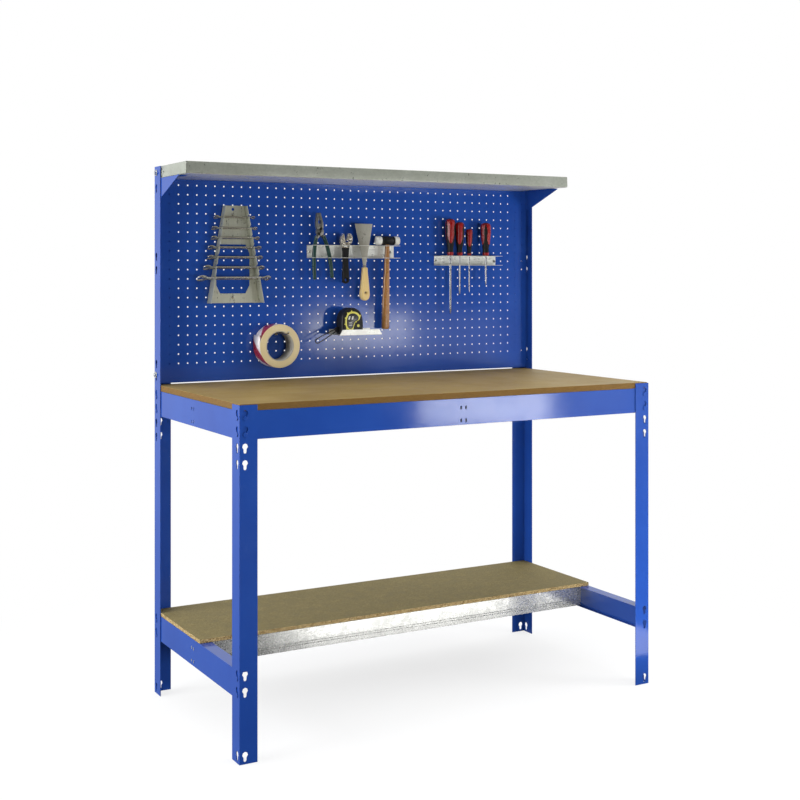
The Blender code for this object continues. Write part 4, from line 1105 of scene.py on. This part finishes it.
blade = at(
    SX, 0, (-0.0043, 1.16), (0.0043, 1.16), (0.0048, 1.176), (0.007, 1.19),
    (0.0264, 1.297), (0.0262, 1.2979), (-0.0322, 1.2979), (-0.0324, 1.297),
    (-0.0075, 1.19), (-0.0052, 1.176),
)
blade = upright(0.00058, blade, soften=0.00025)
piece("scraper_blade_ground", blade, BLADE, "scraper", "tool_steel", ["scraper_blade"])
bolster = rounded((SX - 0.0048, SX + 0.0048), (1.164, 1.1755), 0.0012)
bolster = upright(0.0022, bolster, soften=0.0008, steps=3)
piece("scraper_bolster", bolster, FORGED_SHADED, "scraper", "tool_steel")
wood_line = smooth_loop(both_sides(
    SX, (0, 1.0701), (0.0105, 1.0745), (0.0147, 1.086), (0.0138, 1.104),
    (0.0112, 1.13), (0.0082, 1.156), (0.0068, 1.1676),
), 5)
wood_hole = ring((SX + 0.001, 1.0935), 0.003, 28)
wood_grip = upright(0.0079, wood_line, wood_hole, soften=0.0046, steps=6)
piece("scraper_grip_wood", wood_grip, BEECH, "scraper", "beech", ["scraper_handle"], angle=60)

# ---------------------------------------------------------------- mallet

MX, MZ = 0.09, 1.2485
HEAD = Matrix.Translation((MX, TOOL_Y, MZ)) @ along_x
# (radius, distance along the head) of its three turned parts
MALLET_PARTS = (
    ("head_body", BLACK, "black_plastic", "head", (
        (0, -0.0199), (0.0118, -0.0199), (0.0129, -0.0188), (0.0129, -0.0162), (0.0121, -0.0152),
        (0.0121, -0.0138), (0.0128, -0.0128), (0.013, 0.0), (0.0128, 0.0165), (0.0121, 0.0175),
        (0.0121, 0.019), (0.0129, 0.02), (0.0129, 0.0222), (0.0118, 0.0234), (0, 0.0234),
    )),
    ("face_left_nylon", NYLON, "white_nylon", "face_left", (
        (0, -0.0372), (0.006, -0.0371), (0.0105, -0.0366), (0.0126, -0.0352), (0.0135, -0.033),
        (0.0136, -0.03), (0.0136, -0.0225), (0.013, -0.0208), (0.0122, -0.0204), (0, -0.0204),
    )),
    ("face_right_nylon", NYLON, "white_nylon", "face_right", (
        (0, 0.0239), (0.0122, 0.0239), (0.013, 0.0243), (0.0136, 0.026), (0.0136, 0.034),
        (0.0135, 0.0372), (0.0126, 0.0394), (0.0105, 0.0406), (0.006, 0.0411), (0, 0.0412),
    )),
)
for part, finish, slot, node, profile in MALLET_PARTS:
    piece(f"mallet_{part}", lathe(profile, HEAD, 48), finish, "mallet", slot, [f"mallet_{node}"])
# height, sideways shift, half width, half depth of the handle
STATIONS = (
    (1.247, 0.0015, 0.0066, 0.0066),
    (1.23, 0.0015, 0.0068, 0.0068),
    (1.195, 0.001, 0.0076, 0.007),
    (1.16, 0.0, 0.0084, 0.0072),
    (1.12, -0.0014, 0.0098, 0.0074),
    (1.08, -0.0028, 0.0113, 0.0075),
    (1.04, -0.0037, 0.0121, 0.0075),
    (1.01, -0.0042, 0.0122, 0.0075),
    (0.99, -0.0044, 0.012, 0.0074),
    (0.986, -0.0044, 0.0114, 0.0068),
    (0.9846, -0.0044, 0.01, 0.0056),
)

sections = []
for z, shift, wide, deep in STATIONS:
    sections.append([(MX + shift + u, TOOL_Y + v, z) for u, v in oval(wide, deep, 0.85, 40)])
piece("mallet_shaft_wood", loft(sections), ASH, "mallet", "stained_ash", ["mallet_handle"], angle=50)
plug = block((MX - 0.0012, MX + 0.0042), (TOOL_Y - 0.0045, TOOL_Y + 0.0045), (MZ + 0.006, MZ + 0.0123))
piece("mallet_top_plug", merged(plug), RUBBER, "mallet", "black_plastic")

# ---------------------------------------------------------------- screwdrivers

# x, top of handle, tip of blade, handle radius, shaft radius, turn of the insets in degrees
DRIVERS = (
    (0.3124, 1.319, 1.0265, 0.0158, 0.0033, 54.0),
    (0.3462, 1.3095, 1.084, 0.015, 0.0026, 64.0),
    (0.381, 1.2885, 1.0897, 0.0112, 0.002, 52.0),
    (0.4422, 1.3085, 1.1117, 0.0165, 0.0026, 2.0),
)
DRIVER_Y, SEAT = 0.262, 1.2048
# share of the handle's length, share of its radius
HANDLE = (
    (0.0, 0.56), (0.045, 0.62), (0.085, 0.655), (0.12, 0.6), (0.2, 0.615), (0.3, 0.7), (0.42, 0.83),
    (0.56, 0.93), (0.72, 0.99), (0.85, 1.0), (0.925, 0.93), (0.972, 0.72), (1.0, 0.15),
)
AROUND, UP = 96, 84


def handle_radius(q):
    for (a, ra), (b, rb) in zip(HANDLE, HANDLE[1:]):
        if q <= b:
            t = (q - a) / (b - a)
            t = t * t * (3 - 2 * t) if 0.12 < q < 0.9 else t
            return ra + (rb - ra) * t
    return HANDLE[-1][1]


def inset(q, angle):
    """1 inside one of the three long red insets, 0 outside; the angle is from their first edge."""
    across = (angle % (tau / 3) - tau / 6) * handle_radius(q) * 0.92
    if q > 0.8:
        return 1 if q < 0.985 and abs(across) < 0.8 else 0
    return 1 if q > 0.33 and abs(across) < 0.66 * min(1, (q - 0.33) / 0.2) ** 0.5 else 0


def make_driver(index):
    """A black handle with red insets and collar, and a steel shaft with a crossed tip."""
    x, top, tip, radius, shaft, turn = DRIVERS[index]
    start = radians(240 - turn)
    sections, marks = [], []
    for r in range(UP + 1):
        q = r / UP
        loop, line = [], []
        for n in range(AROUND):
            a = tau * n / AROUND
            red = inset(q, a - start)
            lobes = 0.035 * cos(6 * (a - start)) if 0.15 < q < 0.95 else 0.0
            rr = radius * (handle_radius(q) * (1 + lobes) - (0.0 if red or q > 0.95 else 0.028))
            loop.append((x + rr * cos(a), DRIVER_Y + rr * sin(a), SEAT + (top - SEAT) * q))
            line.append(red)
        sections.append(loop)
        marks.append(line)

    def mark(r, n):
        m = (n + 1) % AROUND
        red = marks[r][n] + marks[r][m] + marks[r + 1][n] + marks[r + 1][m] >= 3
        return 1 if red or r / UP < 0.085 else 0

    name = f"screwdriver_{index + 1}"
    handle = loft(sections, mark)
    piece(f"{name}_handle", handle, [RUBBER, RED], name, "red_plastic", [name], angle=55)
    profile = [
        (0, tip), (shaft * 0.275, tip), (shaft * 0.45, tip + 0.0022), (shaft * 0.9, tip + 0.008),
        (shaft * 0.93, tip + 0.014), (shaft, tip + 0.016), (shaft, SEAT + 0.0005), (0, SEAT + 0.0005),
    ]
    stem = lathe(profile, Matrix.Translation((x, DRIVER_Y, 0)), 28)
    for vert in stem.vertices:
        if vert.co.z < tip + 0.01:
            u, v = vert.co.x - x, vert.co.y - DRIVER_Y
            pinch = 1 - 0.34 * abs(cos(2 * atan2(v, u))) * (1 - (vert.co.z - tip) / 0.01)
            vert.co.x, vert.co.y = x + u * pinch, DRIVER_Y + v * pinch
    piece(f"{name}_shaft", stem, SHAFT, name, "red_plastic")


for index in range(len(DRIVERS)):
    make_driver(index)

# ---------------------------------------------------------------- roll of tape

low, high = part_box("tape_roll")
roll_x, roll_z = (low.x + high.x) / 2, (low.z + high.z) / 2
roll_r, bore = 0.062, 0.0402
ROLL = Matrix.Translation((roll_x, 0, roll_z)) @ Matrix.Rotation(radians(90), 4, "X")
SIDE = tape_paper("wound_layers", (roll_x, 0, roll_z))
PRINT = striped_tape("outer_winding", (roll_x, 0.24, roll_z), roll_r)
front, back = -low.y, -high.y
edge = [
    (bore + 0.0002, 0.0006), (bore + 0.0006, 0.0001), (bore + 0.0026, 0.0001), (bore + 0.0028, 0.0008),
    (roll_r - 0.0014, 0.0006), (roll_r - 0.0003, 0.001), (roll_r, 0.003),
]
profile = [(r, back + v) for r, v in edge] + [(r, front - v) for r, v in edge[::-1]]
profile.append(profile[0])


def roll_mark(row, column):
    """Printed film outside, cardboard round the bore, wound layers between."""
    return 1 if row in (5, 6, 7) else (2 if row in (0, 1, 11, 12, 13) else 0)


sections = [[(u, v, h) for u, v in ring((0, 0), r, 96)] for r, h in profile]
roll = placed(loft(sections, roll_mark, caps=False), ROLL)
piece("tape_roll_wound", roll, [SIDE, PRINT, CORE], "tape_roll", "paper_tape", ["tape_roll"], angle=40)
bm = bmesh.new()
rows = []
for n in range(9):
    a = radians(196 - 5.5 * n)
    r = roll_r - 0.0002 + 0.0052 * (n / 8) ** 2
    edges = (back + 0.0015, front - 0.0015)
    rows.append([bm.verts.new((r * cos(a), r * sin(a), h)) for h in edges])
for one, two in zip(rows, rows[1:]):
    bm.faces.new((one[0], one[1], two[1], two[0]))
flap = placed(made_mesh(bm, tidy=False), ROLL)
loose_end = piece("tape_roll_loose_end", flap, PRINT, "tape_roll", "paper_tape")
loose_end.modifiers.new("thickness", "SOLIDIFY").thickness = 0.0003

# ---------------------------------------------------------------- tape measure

CX, CZ = -0.044, 0.9728
CASE_FRONT = 0.2225


def measure(part, mesh, finish, slot="black_plastic", **more):
    return piece(f"tape_measure_{part}", mesh, finish, "tape_measure", slot, **more)


case_line = smooth_loop(at(
    CX, CZ, (0.0335, 0.0012), (0.0338, 0.015), (0.0325, 0.043), (0.0262, 0.0625),
    (0.013, 0.074), (-0.002, 0.0773), (-0.018, 0.0735), (-0.0305, 0.062),
    (-0.0358, 0.044), (-0.036, 0.016), (-0.0335, 0.0012), (-0.015, 0.0004), (0.015, 0.0004),
))
case = plate("y", CASE_FRONT, 0.264, case_line, soften=0.005, steps=5)
measure("shell", case, BLACK, replaces=["tape_measure_case"], angle=50)
bumper = [((u - CX) * 1.012 + CX, (v - CZ - 0.036) * 1.008 + CZ + 0.0363) for u, v in case_line]
measure("bumper", plate("y", 0.229, 0.2575, bumper, soften=0.0012, steps=3), RUBBER)
KIDNEY = (
    (-0.006, 0.03), (0.011, 0.0275), (0.0215, 0.017), (0.0195, 0.006), (0.008, 0.0),
    (0.0035, -0.009), (-0.002, -0.0225), (-0.012, -0.0262), (-0.0215, -0.02),
    (-0.0262, -0.006), (-0.025, 0.011), (-0.018, 0.0245),
)


def kidney(scale):
    """The kidney outline of the label, scaled about its own middle."""
    cu, cv = (sum(values) / len(KIDNEY) for values in zip(*KIDNEY))
    return [(CX + 0.0005 + cu + (u - cu) * scale, CZ + 0.037 + cv + (v - cv) * scale) for u, v in KIDNEY]


inner = smooth_loop(kidney(0.8))
bezel = plate("y", 0.2216, 0.224, smooth_loop(kidney(1.0)), inner, soften=0.0007, steps=3)
knobs = []
for k, (u, v) in enumerate(kidney(1.05)):
    if k in (0, 2, 4, 6, 8, 9, 10, 11):
        knobs.append(rod((u, 0.2217, v), (u, 0.2245, v), 0.0021, 20, 0.0006))
measure("bezel", merged(bezel, *knobs), YELLOW)
measure("label", plate("y", 0.2221, 0.224, inner, soften=0.0003), LABEL)
strokes = []
for u in (-0.0165, -0.006):
    slanted = at(CX + u, CZ, (0, 0.044), (0.0052, 0.044), (0.0077, 0.0535), (0.0025, 0.0535))
    strokes.append(plate("y", 0.2217, 0.223, slanted, soften=0.0003))
for k in range(3):
    z = CZ + 0.035 - 0.0042 * k
    strokes.append(block((CX - 0.015, CX - 0.004), (0.2217, 0.2228), (z, z + 0.0011), 0.0003))
measure("marks", merged(*strokes), NYLON)
measure("screw", cross_head((CX + 0.0165, 0.2226, CZ + 0.0255), 0.0042, 0.001), YELLOW)
hook = [
    block((CX + 0.03, CX + 0.0343), (0.233, 0.2535), (CZ + 0.0035, CZ + 0.008), 0.0006),
    block((CX + 0.0332, CX + 0.0344), (0.2345, 0.252), (CZ + 0.0012, CZ + 0.0075)),
]
measure("hook", merged(*hook), FASTENER, "fastener_steel")
lock = smooth_loop(at(
    CX, CZ, (0.0225, 0.066), (0.03, 0.056), (0.0335, 0.04), (0.0343, 0.044),
    (0.0322, 0.059), (0.0255, 0.069),
), 4)
measure("lock", plate("y", 0.235, 0.2515, lock, soften=0.001, steps=3), RUBBER)

# the wrist loop: out of the case, round its lower end and back
STRAP_Y = 0.244
strap = at(
    CX, 0, (-0.0352, 0.9915), (-0.045, 0.9893), (-0.056, 0.9856), (-0.07, 0.9796),
    (-0.085, 0.9726), (-0.098, 0.9664), (-0.1075, 0.9616), (-0.1118, 0.9574),
    (-0.1118, 0.9528), (-0.1078, 0.9498), (-0.102, 0.95), (-0.094, 0.954),
    (-0.082, 0.9606), (-0.069, 0.968), (-0.057, 0.9752), (-0.047, 0.9812),
    (-0.0352, 0.9858),
)
strap_points = [(x, STRAP_Y, z) for x, z in strap]
cord_points = smooth_line(strap_points, 3)
cord_length = sum((two - one).length for one, two in zip(cord_points, cord_points[1:]))
cord_curve = bpy.data.curves.new("tape_measure_cord", "CURVE")
cord_curve.dimensions = "3D"
cord_curve.bevel_depth = 0.0016
cord_curve.bevel_resolution = 4
cord_curve.use_fill_caps = True
spline = cord_curve.splines.new("POLY")
spline.points.add(len(cord_points) - 1)
for point, spot in zip(spline.points, cord_points):
    point.co = (*spot, 1.0)
cord_curve.materials.append(WEB)
cord = linked("tape_measure_cord", cord_curve)
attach(cord, "tape_measure")
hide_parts("tape_measure_strap")
clip = rounded((CX - 0.048, CX - 0.0345), (0.981, 0.9945), 0.0025)
measure("cord_clip", plate("y", 0.2405, 0.2475, clip, soften=0.0012, steps=3), RUBBER, "webbing")
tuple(strap_points[0])

# ---------------------------------------------------------------- sizes and end

low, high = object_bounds()
